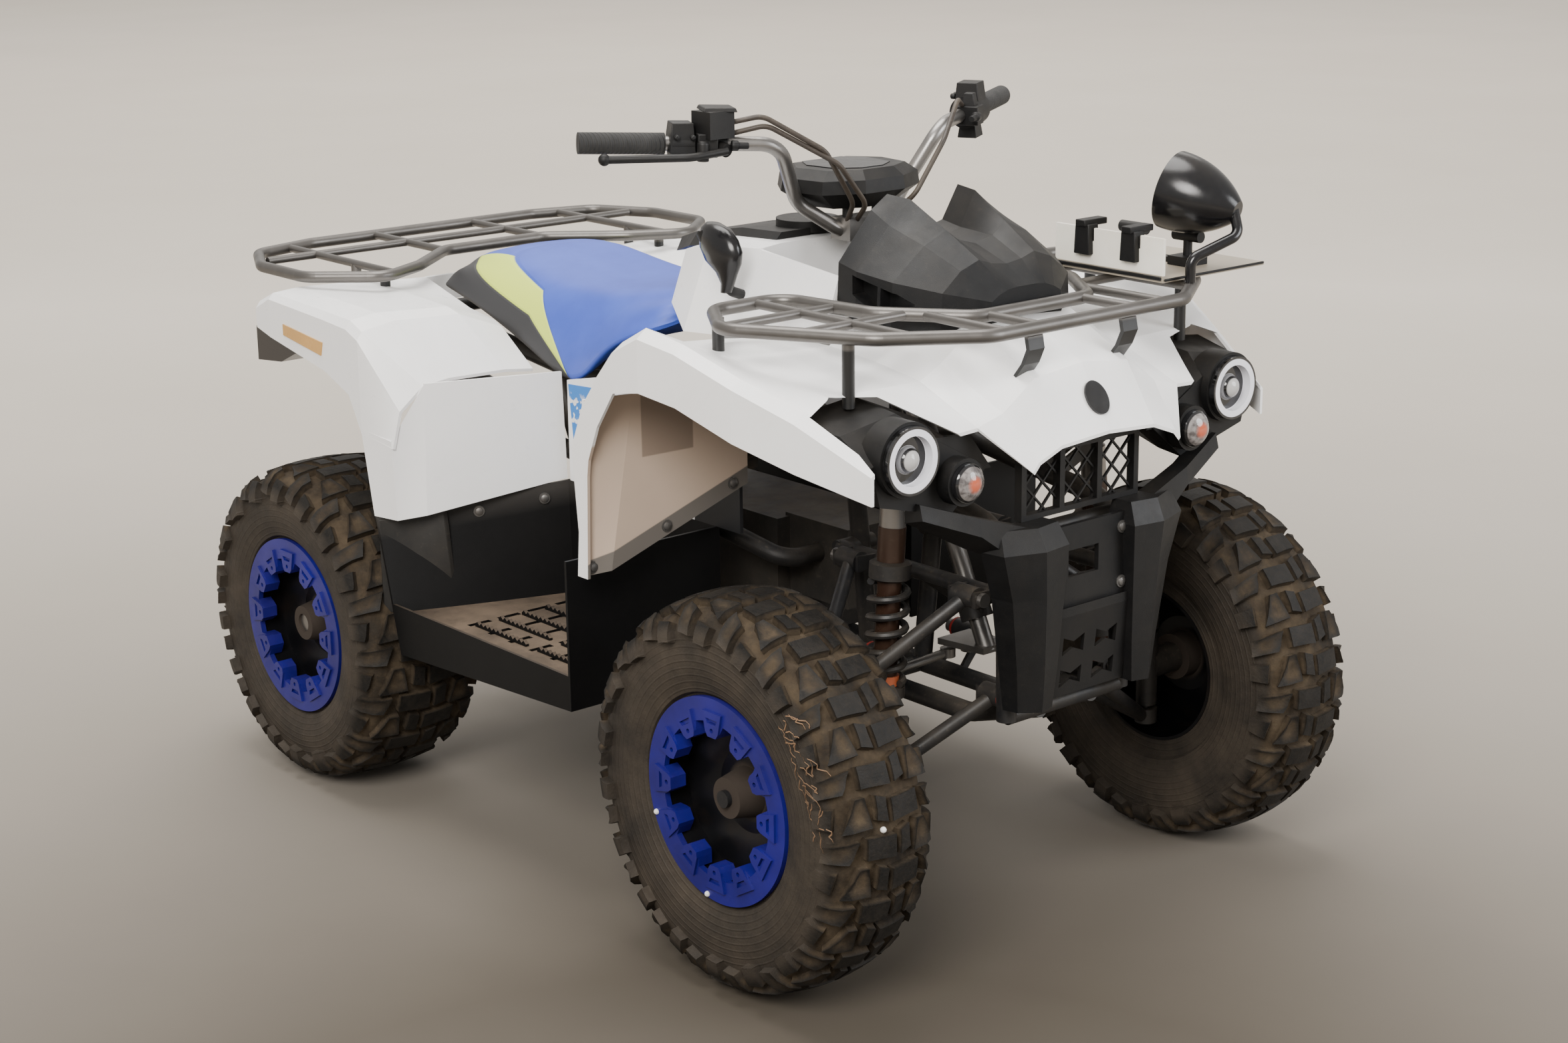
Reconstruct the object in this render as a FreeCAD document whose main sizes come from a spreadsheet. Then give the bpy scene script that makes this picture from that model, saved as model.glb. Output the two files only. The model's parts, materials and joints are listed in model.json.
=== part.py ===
import FreeCAD, Part
import math
import os

import Sketcher

from FreeCAD import Placement, Rotation, Vector

# Quad bike, in millimetres.  +X forward, +Y left, +Z up.
# The origin is on the floor, under the middle of the outline.
SIZES = {
    # wheels
    "front_axle_x": 623.0,
    "rear_axle_x": -537.0,
    "front_tyre_radius": 292.0,
    "rear_tyre_radius": 279.4,
    "front_tyre_width": 174.0,
    "rear_tyre_width": 226.0,
    "front_tyre_y": 448.0,
    "rear_tyre_y": 432.0,
    "bead_radius": 128.0,
    "rim_wall": 5.0,
    "ring_radius": 153.0,
    "ring_band": 9.0,
    "ring_inset": 8.0,
    "ring_depth": 24.0,
    "seat_gap": 0.3,
    "ring_lug_tip": 97.0,
    "ring_lug_count": 12,
    "ring_pocket_depth": 6.0,
    "ring_hole_radius": 3.5,
    "tread_facets": 36,
    "tread_height": 14.0,
    "tread_centre_half": 50.0,
    "tread_groove": 8.0,
    "tyre_clearance": 14.0,
    "hub_radius": 38.0,
    "spindle_radius": 12.5,
    "running_clearance": 0.05,
    # front suspension and steering
    "kingpin_y": 372.0,
    "kingpin_radius": 17.0,
    "upper_ball_rise": 76.0,
    "lower_ball_drop": 85.0,
    "upper_pivot_y": 150.0,
    "upper_pivot_z": 545.0,
    "lower_pivot_y": 92.0,
    "lower_pivot_z": 380.0,
    "pivot_front_x": 742.0,
    "pivot_rear_x": 490.0,
    "arm_radius": 11.0,
    "bush_radius": 16.0,
    "bush_half_length": 22.0,
    "tab_wall": 6.0,
    "shock_x": 648.0,
    "shock_top_y": 205.0,
    "shock_top_z": 715.0,
    "shock_foot_y": 232.0,
    "shock_foot_z": 335.0,
    "shock_eye_half": 16.0,
    "rear_damper_pin": 13.0,
    "ball_gap": 5.0,
    "steering_rake": 25.0,
    "steering_head_x": 350.0,
    "steering_head_z": 1005.0,
    "column_radius": 14.0,
    "column_foot_z": 405.0,
    "drop_arm_length": 62.0,
    "steering_arm_back": 95.0,
    "steering_arm_rise": 43.0,
    "steering_arm_inset": 26.0,
    "tie_rod_radius": 7.0,
    "tie_rod_lift": 16.0,
    "tie_rod_inner_y": 22.0,
    "tie_pin_radius": 5.0,
    "ball_pin_radius": 6.0,
    "drop_arm_fall": 17.0,
    # handlebar
    "bar_radius": 11.0,
    "grip_radius": 16.0,
    "grip_length": 128.0,
    "bar_half_width": 428.0,
    # rear end
    "rear_axle_radius": 16.0,
    "carrier_radius": 40.0,
    "hitch_wall": 10.0,
    "hitch_reach": 165.0,
    "hitch_hole_radius": 8.0,
    "swingarm_pivot_x": -130.0,
    "swingarm_pivot_z": 335.0,
    # racks
    "rack_tube_radius": 10.0,
    "rack_bar_radius": 7.0,
    "front_rack_z": 945.0,
    "rear_rack_z": 870.0,
    "rack_half_width": 435.0,
    # shells
    "shell_wall": 5.0,
    "seat_front_x": 60.0,
    "fender_half_width": 500.0,
    # frame
    "frame_tube_radius": 15.0,
    "frame_rail_y": 105.0,
    "frame_low_z": 320.0,
    "foot_bar_radius": 13.0,
    "foot_bar_reach": 455.0,
    "stay_radius": 8.0,
    "floor_z": 352.0,
    "floor_wall": 8.0,
}

X_AXIS = Vector(1, 0, 0)
Y_AXIS = Vector(0, 1, 0)
Z_AXIS = Vector(0, 0, 1)
ORIGIN = Vector(0, 0, 0)
SIDES = (("left", 1), ("right", -1))


def make_sheet(doc):
    sheet = doc.addObject("Spreadsheet::Sheet", "sizes")
    for row, (name, value) in enumerate(SIZES.items(), start=1):
        sheet.set(f"A{row}", name)
        sheet.set(f"B{row}", str(value))
        sheet.setAlias(f"B{row}", name)
    doc.recompute()
    return sheet


class Model:
    """The document, its sheet of sizes and the sub-parts made so far."""

    def __init__(self):
        self.doc = FreeCAD.newDocument("quad_bike")
        self.sheet = make_sheet(self.doc)
        self.parts = []

    def size(self, name):
        return float(self.sheet.get(name))

    def keep(self, obj, label):
        obj.Label = label
        self.parts.append(obj)
        return obj

    def feature(self, label, shape, placement=None):
        obj = self.doc.addObject("Part::Feature", label)
        obj.Shape = shape
        if placement is not None:
            obj.Placement = placement
        return self.keep(obj, label)


# Shape helpers


def ball_z(model, level):
    """Height of a ball joint, above or below the wheel's axle."""
    axle = model.size("front_tyre_radius")
    if level == "upper":
        return axle + model.size("upper_ball_rise")
    return axle - model.size("lower_ball_drop")


def steering_arm_z(model):
    return model.size("front_tyre_radius") + model.size("steering_arm_rise")


def wire(points):
    return Part.makePolygon(points + [points[0]])


def loft(sections):
    return Part.makeLoft([wire(section) for section in sections], True, True)


def stacked(rows):
    """A solid with flat ends and flat sides between rows of matching corners."""
    faces = [Part.Face(wire(rows[0])), Part.Face(wire(rows[-1]))]
    for low, high in zip(rows, rows[1:]):
        for index in range(len(low)):
            after = (index + 1) % len(low)
            faces.append(Part.Face(wire([low[index], low[after], high[after], high[index]])))
    solid = Part.Solid(Part.Shell(faces))
    if solid.Volume < 0:
        solid.reverse()
    return solid


def panel(first, second, wall):
    """A skin ruled from one line of points to another, thick along wall."""
    sections = []
    for line in (first, second):
        sections.append(list(line) + [point + wall for point in reversed(line)])
    return loft(sections)


def prism(points, along):
    return Part.Face(wire(points)).extrude(along)


def fuse(shapes):
    shapes = list(shapes)
    if len(shapes) == 1:
        return shapes[0]
    whole = shapes[0].multiFuse(shapes[1:])
    refined = whole.copy().removeSplitter()
    return refined if refined.isValid() else whole


def trimmed(shape, tool):
    """The largest solid left of a shape that ends against another."""
    return max(shape.cut(tool).Solids, key=lambda solid: solid.Volume)


def standing(leg, skin):
    """The part of a leg above the skin that it stands on."""
    return max(leg.cut(skin).Solids, key=lambda solid: solid.CenterOfMass.z)


def mirrored(shape):
    return shape.mirror(ORIGIN, Y_AXIS)


def both_sides(shape):
    return Part.makeCompound([shape, mirrored(shape)])


def rod(start, end, radius):
    along = end - start
    return Part.makeCylinder(radius, along.Length, start, along)


def rounded_path(points, bend):
    """Straight runs joined by tangent arcs of the given radius."""
    edges = []
    last = points[0]
    for before, corner, after in zip(points, points[1:], points[2:]):
        back = (before - corner).normalize()
        ahead = (after - corner).normalize()
        half = (math.pi - back.getAngle(ahead)) / 2
        if half < 0.005:
            continue
        room = 0.45 * min((before - corner).Length, (after - corner).Length)
        reach = min(bend * math.tan(half), room)
        radius = reach / math.tan(half)
        enter = corner + back * reach
        leave = corner + ahead * reach
        middle = (back + ahead).normalize()
        centre = corner + middle * (radius / math.cos(half))
        top = centre - middle * radius
        edges.append(Part.LineSegment(last, enter).toShape())
        edges.append(Part.Arc(enter, top, leave).toShape())
        last = leave
    edges.append(Part.LineSegment(last, points[-1]).toShape())
    return Part.Wire(edges)


def tube(points, radius, bend=40.0):
    path = rounded_path(points, bend)
    start = points[0]
    circle = Part.Wire(Part.makeCircle(radius, start, points[1] - start))
    return path.makePipeShell([circle], True, False)


def half_shell(stations, wall):
    """A thin skin through sections at given x, each a list of (y, z) from the
    middle outward; the wall is laid inside each section."""
    sections = []
    for x, line in stations:
        outer = [Vector(x, y, z) for y, z in line]
        inner = [Vector(x, y, z) for y, z in inset(line, wall)]
        sections.append(outer + inner[::-1])
    return loft(sections)


def inset(line, wall):
    """The same polyline moved by wall to its inner side, mitred at corners."""
    normals = []
    for (y0, z0), (y1, z1) in zip(line, line[1:]):
        length = math.hypot(y1 - y0, z1 - z0)
        normals.append(((z1 - z0) / length, -(y1 - y0) / length))
    moved = []
    for index, (y, z) in enumerate(line):
        first = normals[max(index - 1, 0)]
        second = normals[min(index, len(normals) - 1)]
        ny = first[0] + second[0]
        nz = first[1] + second[1]
        scale = 2.0 / max(ny * ny + nz * nz, 0.8)
        moved.append((y + ny * scale * wall, z + nz * scale * wall))
    return moved


# Parametric bodies


def origin_plane(body, role):
    return next(f for f in body.Origin.OriginFeatures if f.Role == role)


def profile(body, name, plane, corners):
    """A closed polygon whose corners are pairs of sheet expressions."""
    sketch = body.newObject("Sketcher::SketchObject", name)
    sketch.AttachmentSupport = [(origin_plane(body, plane), "")]
    sketch.MapMode = "FlatFace"
    count = len(corners)
    spots = []
    for index in range(count):
        turn = 2 * math.pi * index / count
        spots.append(Vector(50 * math.cos(turn), 50 * math.sin(turn), 0))
    for index in range(count):
        sketch.addGeometry(Part.LineSegment(spots[index], spots[(index + 1) % count]))
    for index in range(count):
        link = Sketcher.Constraint("Coincident", index, 2, (index + 1) % count, 1)
        sketch.addConstraint(link)
    for index, (across, up) in enumerate(corners):
        spot = spots[index]
        at = sketch.addConstraint(
            Sketcher.Constraint("DistanceX", -1, 1, index, 1, spot.x))
        sketch.setExpression(f"Constraints[{at}]", across)
        at = sketch.addConstraint(
            Sketcher.Constraint("DistanceY", -1, 1, index, 1, spot.y))
        sketch.setExpression(f"Constraints[{at}]", up)
    return sketch


def revolve(body, sketch, name):
    feature = body.newObject("PartDesign::Revolution", name)
    feature.Profile = sketch
    feature.ReferenceAxis = (sketch, ["H_Axis"])
    feature.Angle = 360.0
    return feature


def place(obj, x=None, y=None, z=None):
    for axis, expression in (("x", x), ("y", y), ("z", z)):
        if expression is not None:
            obj.setExpression(f"Placement.Base.{axis}", expression)


def new_body(model, label):
    body = model.doc.addObject("PartDesign::Body", label)
    return model.keep(body, label)


# Wheels


def facet_point(radius, y, turn):
    """A corner of the many-sided tyre; radius is measured to the middle of a side."""
    angle = math.radians(turn)
    return Vector(radius * math.sin(angle), y, -radius * math.cos(angle))


def tread_block(inner, outer, turn, half_step):
    """One block over one side of the tyre, between two (y, base, top) lines."""
    sections = []
    for y, base, top in (inner, outer):
        sections.append([facet_point(base, y, turn - half_step),
                         facet_point(top, y, turn - half_step),
                         facet_point(top, y, turn + half_step),
                         facet_point(base, y, turn + half_step)])
    return stacked(sections)


def tyre(model, label, end, side):
    """A many-sided carcass; sides carry centre and shoulder blocks by turns."""
    facets = int(model.size("tread_facets"))
    half_step = 180.0 / facets
    stretch = 1 / math.cos(math.radians(half_step))
    top = model.size(f"{end}_tyre_radius")
    base = top - model.size("tread_height")
    bead = model.size("bead_radius")
    half = model.size(f"{end}_tyre_width") / 2
    seat = half - model.size("ring_inset") - model.size("ring_band") - model.size("seat_gap")
    centre = model.size("tread_centre_half")
    edge = half - 8
    side_line = [(seat, model.size("ring_radius") + 3), (half, (bead + top) / 2),
                 (edge, top - 44), (centre, base)]
    line = [(-y, r) for y, r in side_line] + side_line[::-1]
    rows = []
    for y, radius in line:
        rows.append([facet_point(radius * stretch, y, (2 * index + 1) * half_step)
                     for index in range(facets)])
    bore = [facet_point(bead * stretch, -half, (2 * index + 1) * half_step)
            for index in range(facets)]
    blocks = []
    groove = centre + model.size("tread_groove")
    sink = 4
    for index in range(facets):
        turn = 2 * index * half_step
        if index % 2 == 0:
            blocks.append(tread_block((-centre, (base - sink) * stretch, top * stretch),
                                      (centre, (base - sink) * stretch, top * stretch),
                                      turn, half_step))
            continue
        for hand in (1, -1):
            blocks.append(tread_block(
                (hand * groove, (base - 24) * stretch, (top - 3) * stretch),
                (hand * edge, (top - 52) * stretch, (top - 30) * stretch), turn, half_step))
    shape = fuse([stacked(rows)] + blocks).cut(prism(bore, Vector(0, 2 * half, 0)))
    spot = Vector(model.size(f"{end}_axle_x"), side * model.size(f"{end}_tyre_y"), top)
    return model.feature(label, shape, Placement(spot, Rotation()))


def rim(model, label, end, side, bore):
    """Pressed steel rim: barrel, dished disc and hub with its bore."""
    body = new_body(model, label)
    half = (f"(sizes.{end}_tyre_width / 2 - sizes.ring_inset - sizes.ring_band"
            " - sizes.seat_gap)")
    out = "(sizes.bead_radius - sizes.seat_gap)"
    wall = "sizes.rim_wall"
    disc = f"({half} - 52)"
    corners = [
        (f"{side} * (-{half})", f"{out} - {wall}"),
        (f"{side} * (-{half})", out),
        (f"{side} * {half}", out),
        (f"{side} * {half}", f"{out} - {wall}"),
        (f"{side} * ({disc} + 14)", f"{out} - {wall} - 2"),
        (f"{side} * ({disc})", "sizes.hub_radius + 24"),
        (f"{side} * ({disc})", "sizes.hub_radius"),
        (f"{side} * ({half} - 12)", "sizes.hub_radius - 8"),
        (f"{side} * ({half} - 12)", bore),
        (f"{side} * ({disc} - 34)", bore),
        (f"{side} * ({disc} - 34)", "sizes.hub_radius"),
        (f"{side} * ({disc} - {wall})", "sizes.hub_radius"),
        (f"{side} * ({disc} - {wall})", "sizes.hub_radius + 24"),
        (f"{side} * ({disc} + 14 - {wall})", f"{out} - {wall} - 2"),
        (f"{side} * ({disc} - 14)", f"{out} - {wall}"),
    ]
    sketch = profile(body, f"{label}_profile", "YZ_Plane", corners)
    revolve(body, sketch, f"{label}_turned")
    place(body, f"sizes.{end}_axle_x", f"{side} * sizes.{end}_tyre_y",
          f"sizes.{end}_tyre_radius")
    return body


def ring(model, label, end, side):
    """Moulded trim ring over the rim, with twelve blocks pointing inward."""
    face = (model.size(f"{end}_tyre_y") + model.size(f"{end}_tyre_width") / 2
            - model.size("ring_inset"))
    band = model.size("ring_band")
    depth = model.size("ring_depth")
    out = model.size("ring_radius")
    tip = model.size("ring_lug_tip")
    count = int(model.size("ring_lug_count"))
    inside = model.size("bead_radius") - model.size("rim_wall") - 1
    disc = Part.makeCylinder(out, band, Vector(0, -band, 0), Y_AXIS)
    disc = disc.cut(Part.makeCylinder(inside - 4, band, Vector(0, -band, 0), Y_AXIS))
    blocks = []
    for index in range(count):
        front = prism(lug_outline(tip, inside + 12, -band), Vector(0, band + 4, 0))
        back = prism(lug_outline(tip, inside - 6, -depth), Vector(0, depth, 0))
        pocket = prism([Vector(-13, -2, inside + 2), Vector(-9, -2, tip + 20),
                        Vector(9, -2, tip + 20), Vector(13, -2, inside + 2)],
                       Vector(0, model.size("ring_pocket_depth") + 1, 0))
        hole = rod(Vector(0, -depth - 1, tip + 10), Vector(0, 6, tip + 10),
                   model.size("ring_hole_radius"))
        block = front.fuse(back).cut(pocket).cut(hole)
        block.rotate(ORIGIN, Y_AXIS, 360.0 * index / count)
        blocks.append(block)
    shape = fuse([disc] + blocks)
    if side < 0:
        shape = mirrored(shape)
    spot = Vector(model.size(f"{end}_axle_x"), side * face,
                  model.size(f"{end}_tyre_radius"))
    return model.feature(label, shape, Placement(spot, Rotation()))


def lug_outline(tip, root, y):
    return [Vector(-21, y, root), Vector(-14, y, tip + 7), Vector(-9, y, tip),
            Vector(9, y, tip), Vector(14, y, tip + 7), Vector(21, y, root)]


def wheel(model, end, side_name, side, bore):
    tyre(model, f"{end}_tyre_{side_name}", end, side)
    rim(model, f"{end}_rim_{side_name}", end, side, bore)
    ring(model, f"{end}_wheel_ring_{side_name}", end, side)


def rear_axle(model):
    radius = model.size("rear_axle_radius")
    reach = model.size("rear_tyre_y") + model.size("rear_tyre_width") / 2 - 34
    x = model.size("rear_axle_x")
    z = model.size("rear_tyre_radius")
    shaft = rod(Vector(x, -reach, z), Vector(x, reach, z), radius)
    sprocket = rod(Vector(x, 92, z), Vector(x, 99, z), 92)
    disc = rod(Vector(x, -99, z), Vector(x, -94, z), 96)
    carrier_left = rod(Vector(x, 84, z), Vector(x, 108, z), 34)
    carrier_right = rod(Vector(x, -108, z), Vector(x, -84, z), 34)
    model.feature("rear_axle", fuse([shaft, sprocket, disc, carrier_left, carrier_right]))


# Steering


def knuckle(model, side_name, side):
    x = model.size("front_axle_x")
    y = model.size("kingpin_y")
    z = model.size("front_tyre_radius")
    upper = ball_z(model, "upper")
    lower = ball_z(model, "lower")
    gap = model.size("ball_gap")
    radius = model.size("kingpin_radius")
    half = (model.size("front_tyre_width") / 2 - model.size("ring_inset")
            - model.size("ring_band") - model.size("seat_gap"))
    hub_end = model.size("front_tyre_y") + half - 4
    post = rod(Vector(x, y, lower + gap + 14), Vector(x, y, upper - gap - 14), radius)
    ball_pin = model.size("ball_pin_radius")
    pin_low = rod(Vector(x, y, lower - 6), Vector(x, y, lower + gap + 20), ball_pin)
    pin_up = rod(Vector(x, y, upper - gap - 20), Vector(x, y, upper + 6), ball_pin)
    spindle = rod(Vector(x, y, z), Vector(x, hub_end, z), model.size("spindle_radius"))
    shoulder_end = model.size("front_tyre_y") + half - 52 - 34 - 1
    shoulder = rod(Vector(x, y, z), Vector(x, shoulder_end, z), 24)
    back = model.size("steering_arm_back")
    arm_z = steering_arm_z(model)
    eye = Vector(x - back, y - model.size("steering_arm_inset"), arm_z)
    arm = prism(
        [Vector(x, y - 12, arm_z - 6), Vector(x, y + 8, arm_z - 6),
         Vector(x - back, y - 16, arm_z - 6), Vector(x - back, y - 36, arm_z - 6)],
        Vector(0, 0, 12))
    boss = rod(eye - Z_AXIS * 6, eye + Z_AXIS * 6, 13)
    pin = rod(eye, eye + Z_AXIS * 24, model.size("tie_pin_radius"))
    shape = fuse([post, pin_low, pin_up, spindle, shoulder, arm, boss, pin])
    if side < 0:
        shape = mirrored(shape)
    model.feature(f"knuckle_{side_name}", shape)


def tie_rod(model, side_name, side):
    x = model.size("front_axle_x") - model.size("steering_arm_back")
    y = model.size("kingpin_y") - model.size("steering_arm_inset")
    z = steering_arm_z(model) + model.size("tie_rod_lift")
    inner = drop_arm_eye(model) + Vector(0, model.size("tie_rod_inner_y"), 0)
    radius = model.size("tie_rod_radius")
    eye = Vector(x, y, z)
    ring_out = rod(eye - Z_AXIS * 7, eye + Z_AXIS * 7, 12)
    bar = rod(eye, inner, radius)
    end = rod(inner - Z_AXIS * 7, inner + Z_AXIS * 7, 12)
    shape = fuse([ring_out, bar, end])
    hole = model.size("tie_pin_radius") + model.size("running_clearance")
    shape = shape.cut(rod(eye - Z_AXIS * 30, eye + Z_AXIS * 30, hole))
    if side < 0:
        shape = mirrored(shape)
    model.feature(f"tie_rod_{side_name}", shape)


def steering_axis(model):
    rake = math.radians(model.size("steering_rake"))
    return Vector(-math.sin(rake), 0, math.cos(rake))


def steering_head(model):
    return Vector(model.size("steering_head_x"), 0, model.size("steering_head_z"))


def column_foot(model):
    head = steering_head(model)
    axis = steering_axis(model)
    fall = head.z - model.size("column_foot_z")
    return head - axis * (fall / axis.z)


def drop_arm_eye(model):
    foot = column_foot(model)
    return foot + Vector(-model.size("drop_arm_length"), 0, -model.size("drop_arm_fall"))


def bar_points(model):
    reach = model.size("bar_half_width")
    left = [Vector(216, reach, 1173), Vector(352, 165, 1160), Vector(322, 108, 1062),
            Vector(352, 45, 1016)]
    right = [Vector(p.x, -p.y, p.z) for p in reversed(left)]
    return left + right


def handlebar(model):
    head = steering_head(model)
    foot = column_foot(model)
    axis = steering_axis(model)
    radius = model.size("bar_radius")
    column = rod(foot - axis * 6, head + axis * 4, model.size("column_radius"))
    bar = tube(bar_points(model), radius, 45)
    clamp = Part.makeBox(44, 96, 34, Vector(332, -48, 1003))
    foot_eye = drop_arm_eye(model)
    arm = prism(
        [Vector(foot.x + 14, -20, foot.z - 4), Vector(foot.x + 14, 20, foot.z - 4),
         Vector(foot_eye.x - 10, 34, foot.z - 4), Vector(foot_eye.x - 10, -34, foot.z - 4)],
        Vector(0, 0, 10))
    return model.feature("handlebar", fuse([column, bar, clamp, arm]))


def bar_end(model):
    """Outer end of the left half of the bar, and the way inward along it."""
    outer, bend = bar_points(model)[:2]
    return outer, (bend - outer).normalize()


def grips(model):
    outer, inward = bar_end(model)
    start = outer - inward * 6
    sleeve = rod(start, start + inward * model.size("grip_length"),
                 model.size("grip_radius"))
    hole = rod(outer - inward * model.size("seat_gap"), outer + inward * 200,
               model.size("bar_radius"))
    model.feature("grips", both_sides(sleeve.cut(hole)))


def instrument_pod(model, bar):
    """Eight-sided dish for the instruments, on two stems above the bar clamp."""
    outline = [(232, 70), (290, 112), (372, 100), (404, 40), (404, -40), (372, -100),
               (290, -112), (232, -70)]
    centre = Vector(326, 0, 0)
    rows = []
    for z, scale in ((1052, 0.62), (1078, 1.0), (1098, 0.97), (1112, 0.78)):
        rows.append([centre + Vector((x - centre.x) * scale, y * scale, z)
                     for x, y in outline])
    stems = [rod(Vector(350, s * 30, 1037.3), Vector(350, s * 30, 1070), 8) for s in (1, -1)]
    model.feature("instrument_pod", trimmed(fuse([loft(rows)] + stems), bar.Shape))


def controls(model):
    """Switch and brake housings that clamp round the bar beside each grip."""
    outer, inward = bar_end(model)
    start = outer + inward * (model.size("grip_length") + 2)
    hole = rod(outer, outer + inward * 250, model.size("bar_radius"))
    throttle = rod(start, start + inward * 34, 24)
    clamp = rod(start + inward * 38, start + inward * 84, 18)
    joint = rod(start + inward * 30, start + inward * 40, 15)
    reservoir = Part.makeBox(44, 46, 40, start + inward * 62 + Vector(-12, -20, 10))
    hinge = start + inward * 66 + Vector(32, 0, -8)
    bridge = rod(start + inward * 66, hinge, 10)
    lever = tube([hinge, start + Vector(52, 0, -16), outer + Vector(38, -12, -22)], 6, 40)
    tip = Part.makeSphere(9, outer + Vector(38, -12, -22))
    shape = fuse([throttle, clamp, joint, reservoir, bridge, lever, tip]).cut(hole)
    right = model.feature("right_control", mirrored(shape))
    pod = rod(start, start + inward * 52, 26).cut(hole)
    return right, model.feature("left_control", pod)


# Suspension


def arm_pivots(model, level):
    y = model.size(f"{level}_pivot_y")
    z = model.size(f"{level}_pivot_z")
    return [Vector(model.size(f"pivot_{end}_x"), y, z) for end in ("front", "rear")]


def a_arm(model, level):
    """One wishbone: two legs from the ball joint to the bushes on the frame."""
    x = model.size("front_axle_x")
    ball = Vector(x, model.size("kingpin_y"), ball_z(model, level))
    radius = model.size("arm_radius")
    half = model.size("bush_half_length")
    pieces = [rod(ball - Z_AXIS * 12, ball + Z_AXIS * 12, 18)]
    for pivot in arm_pivots(model, level):
        pieces.append(rod(ball - Y_AXIS * 10, pivot, radius))
        pieces.append(rod(pivot - X_AXIS * half, pivot + X_AXIS * half,
                          model.size("bush_radius")))
    if level == "lower":
        pieces += shock_bracket(model, ball - Y_AXIS * 10)
    hole = rod(ball - Z_AXIS * 30, ball + Z_AXIS * 30,
               model.size("ball_pin_radius") + model.size("running_clearance"))
    return fuse(pieces).cut(hole)


def shock_bracket(model, ball):
    """Cross bar between the lower legs, with two tabs for the damper's eye."""
    y = model.size("shock_foot_y")
    eye_z = model.size("shock_foot_z")
    ends = []
    for pivot in arm_pivots(model, "lower"):
        share = (ball.y - y) / (ball.y - pivot.y)
        ends.append(ball + (pivot - ball) * share)
    bar = rod(ends[0], ends[1], model.size("arm_radius") - 2)
    wall = model.size("tab_wall")
    x = model.size("shock_x")
    gap = model.size("shock_eye_half") + model.size("seat_gap")
    low = ends[0].z
    tabs = []
    for start in (x - gap - wall, x + gap):
        tabs.append(Part.makeBox(wall, 30, eye_z + 12 - low,
                                 Vector(start, y - 15, low)))
    return [bar] + tabs


def arms(model):
    for level in ("upper", "lower"):
        model.feature(f"{level}_arms", both_sides(a_arm(model, level)))


def shock_ends(model):
    x = model.size("shock_x")
    top = Vector(x, model.size("shock_top_y"), model.size("shock_top_z"))
    foot = Vector(x, model.size("shock_foot_y"), model.size("shock_foot_z"))
    return top, foot


def shocks(model):
    top, bottom = shock_ends(model)
    along = (bottom - top).normalize()
    half = model.size("shock_eye_half")
    parts = [
        rod(top, top + along * 40, 13),
        rod(top + along * 30, top + along * 130, 22),
        rod(top + along * 110, top + along * 275, 32),
        rod(top + along * 270, bottom, 13),
        rod(top - X_AXIS * half, top + X_AXIS * half, 17),
        rod(bottom - X_AXIS * half, bottom + X_AXIS * half, 15),
    ]
    model.feature("front_shocks", both_sides(fuse(parts)))


def leg_ends(model):
    """Both ends of the swingarm's leg, seen from the side."""
    axle = Vector(model.size("rear_axle_x") + 20, 0, model.size("rear_tyre_radius") + 12)
    pivot = Vector(model.size("swingarm_pivot_x"), 0, model.size("swingarm_pivot_z"))
    return axle, pivot


def rear_shock_foot(model):
    """Lower eye of the rear damper, a third of the way up the swingarm's legs."""
    axle, pivot = leg_ends(model)
    return axle + (pivot - axle) / 3 + Z_AXIS * 13


def rear_shock_top():
    return Vector(-306, 0, 640)


def swingarm(model):
    x = model.size("rear_axle_x")
    z = model.size("rear_tyre_radius")
    axle, pivot = leg_ends(model)
    carrier = rod(Vector(x, -78, z), Vector(x, 78, z), model.size("carrier_radius"))
    bore = model.size("rear_axle_radius") + model.size("running_clearance")
    half = (model.size("frame_rail_y") - model.size("frame_tube_radius")
            - model.size("seat_gap"))
    legs = []
    for side in (1, -1):
        legs.append(rod(axle + Y_AXIS * side * 60, pivot + Y_AXIS * side * 66, 17))
    cross = rod(pivot - Y_AXIS * half, pivot + Y_AXIS * half, 20)
    foot = rear_shock_foot(model)
    bracket = rod(foot - Y_AXIS * 62, foot + Y_AXIS * 62, model.size("rear_damper_pin"))
    shape = fuse(legs + [cross, bracket, carrier])
    shape = shape.cut(rod(Vector(x, -200, z), Vector(x, 200, z), bore))
    model.feature("swingarm", shape)


def rear_shock(model):
    bottom = rear_shock_foot(model)
    top = rear_shock_top()
    along = (top - bottom).normalize()
    parts = [
        rod(bottom, bottom + along * 60, 15),
        rod(bottom + along * 50, bottom + along * 250, 36),
        rod(bottom + along * 240, top, 20),
        rod(top - Y_AXIS * 18, top + Y_AXIS * 18, 22),
        rod(bottom - Y_AXIS * 18, bottom + Y_AXIS * 18, 22),
    ]
    shape = fuse(parts)
    for eye in (top, bottom):
        shape = shape.cut(rod(eye - Y_AXIS * 40, eye + Y_AXIS * 40,
                              model.size("rear_damper_pin") + model.size("seat_gap")))
    model.feature("rear_shock", shape)


# Frame and engine


def bush_tabs(model, level, anchor_y, anchor_heights):
    """Plates each side of a wishbone bush, welded to the tube beside it."""
    wall = model.size("tab_wall")
    gap = model.size("bush_half_length") + model.size("seat_gap")
    tabs = []
    for pivot, anchor_z in zip(arm_pivots(model, level), anchor_heights):
        for start in (pivot.x - gap - wall, pivot.x + gap):
            outline = [Vector(start, anchor_y, anchor_z - 9),
                       Vector(start, anchor_y, anchor_z + 9),
                       Vector(start, pivot.y + 12, pivot.z + 12),
                       Vector(start, pivot.y + 12, pivot.z - 12)]
            tabs.append(prism(outline, Vector(wall, 0, 0)))
    return tabs


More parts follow.
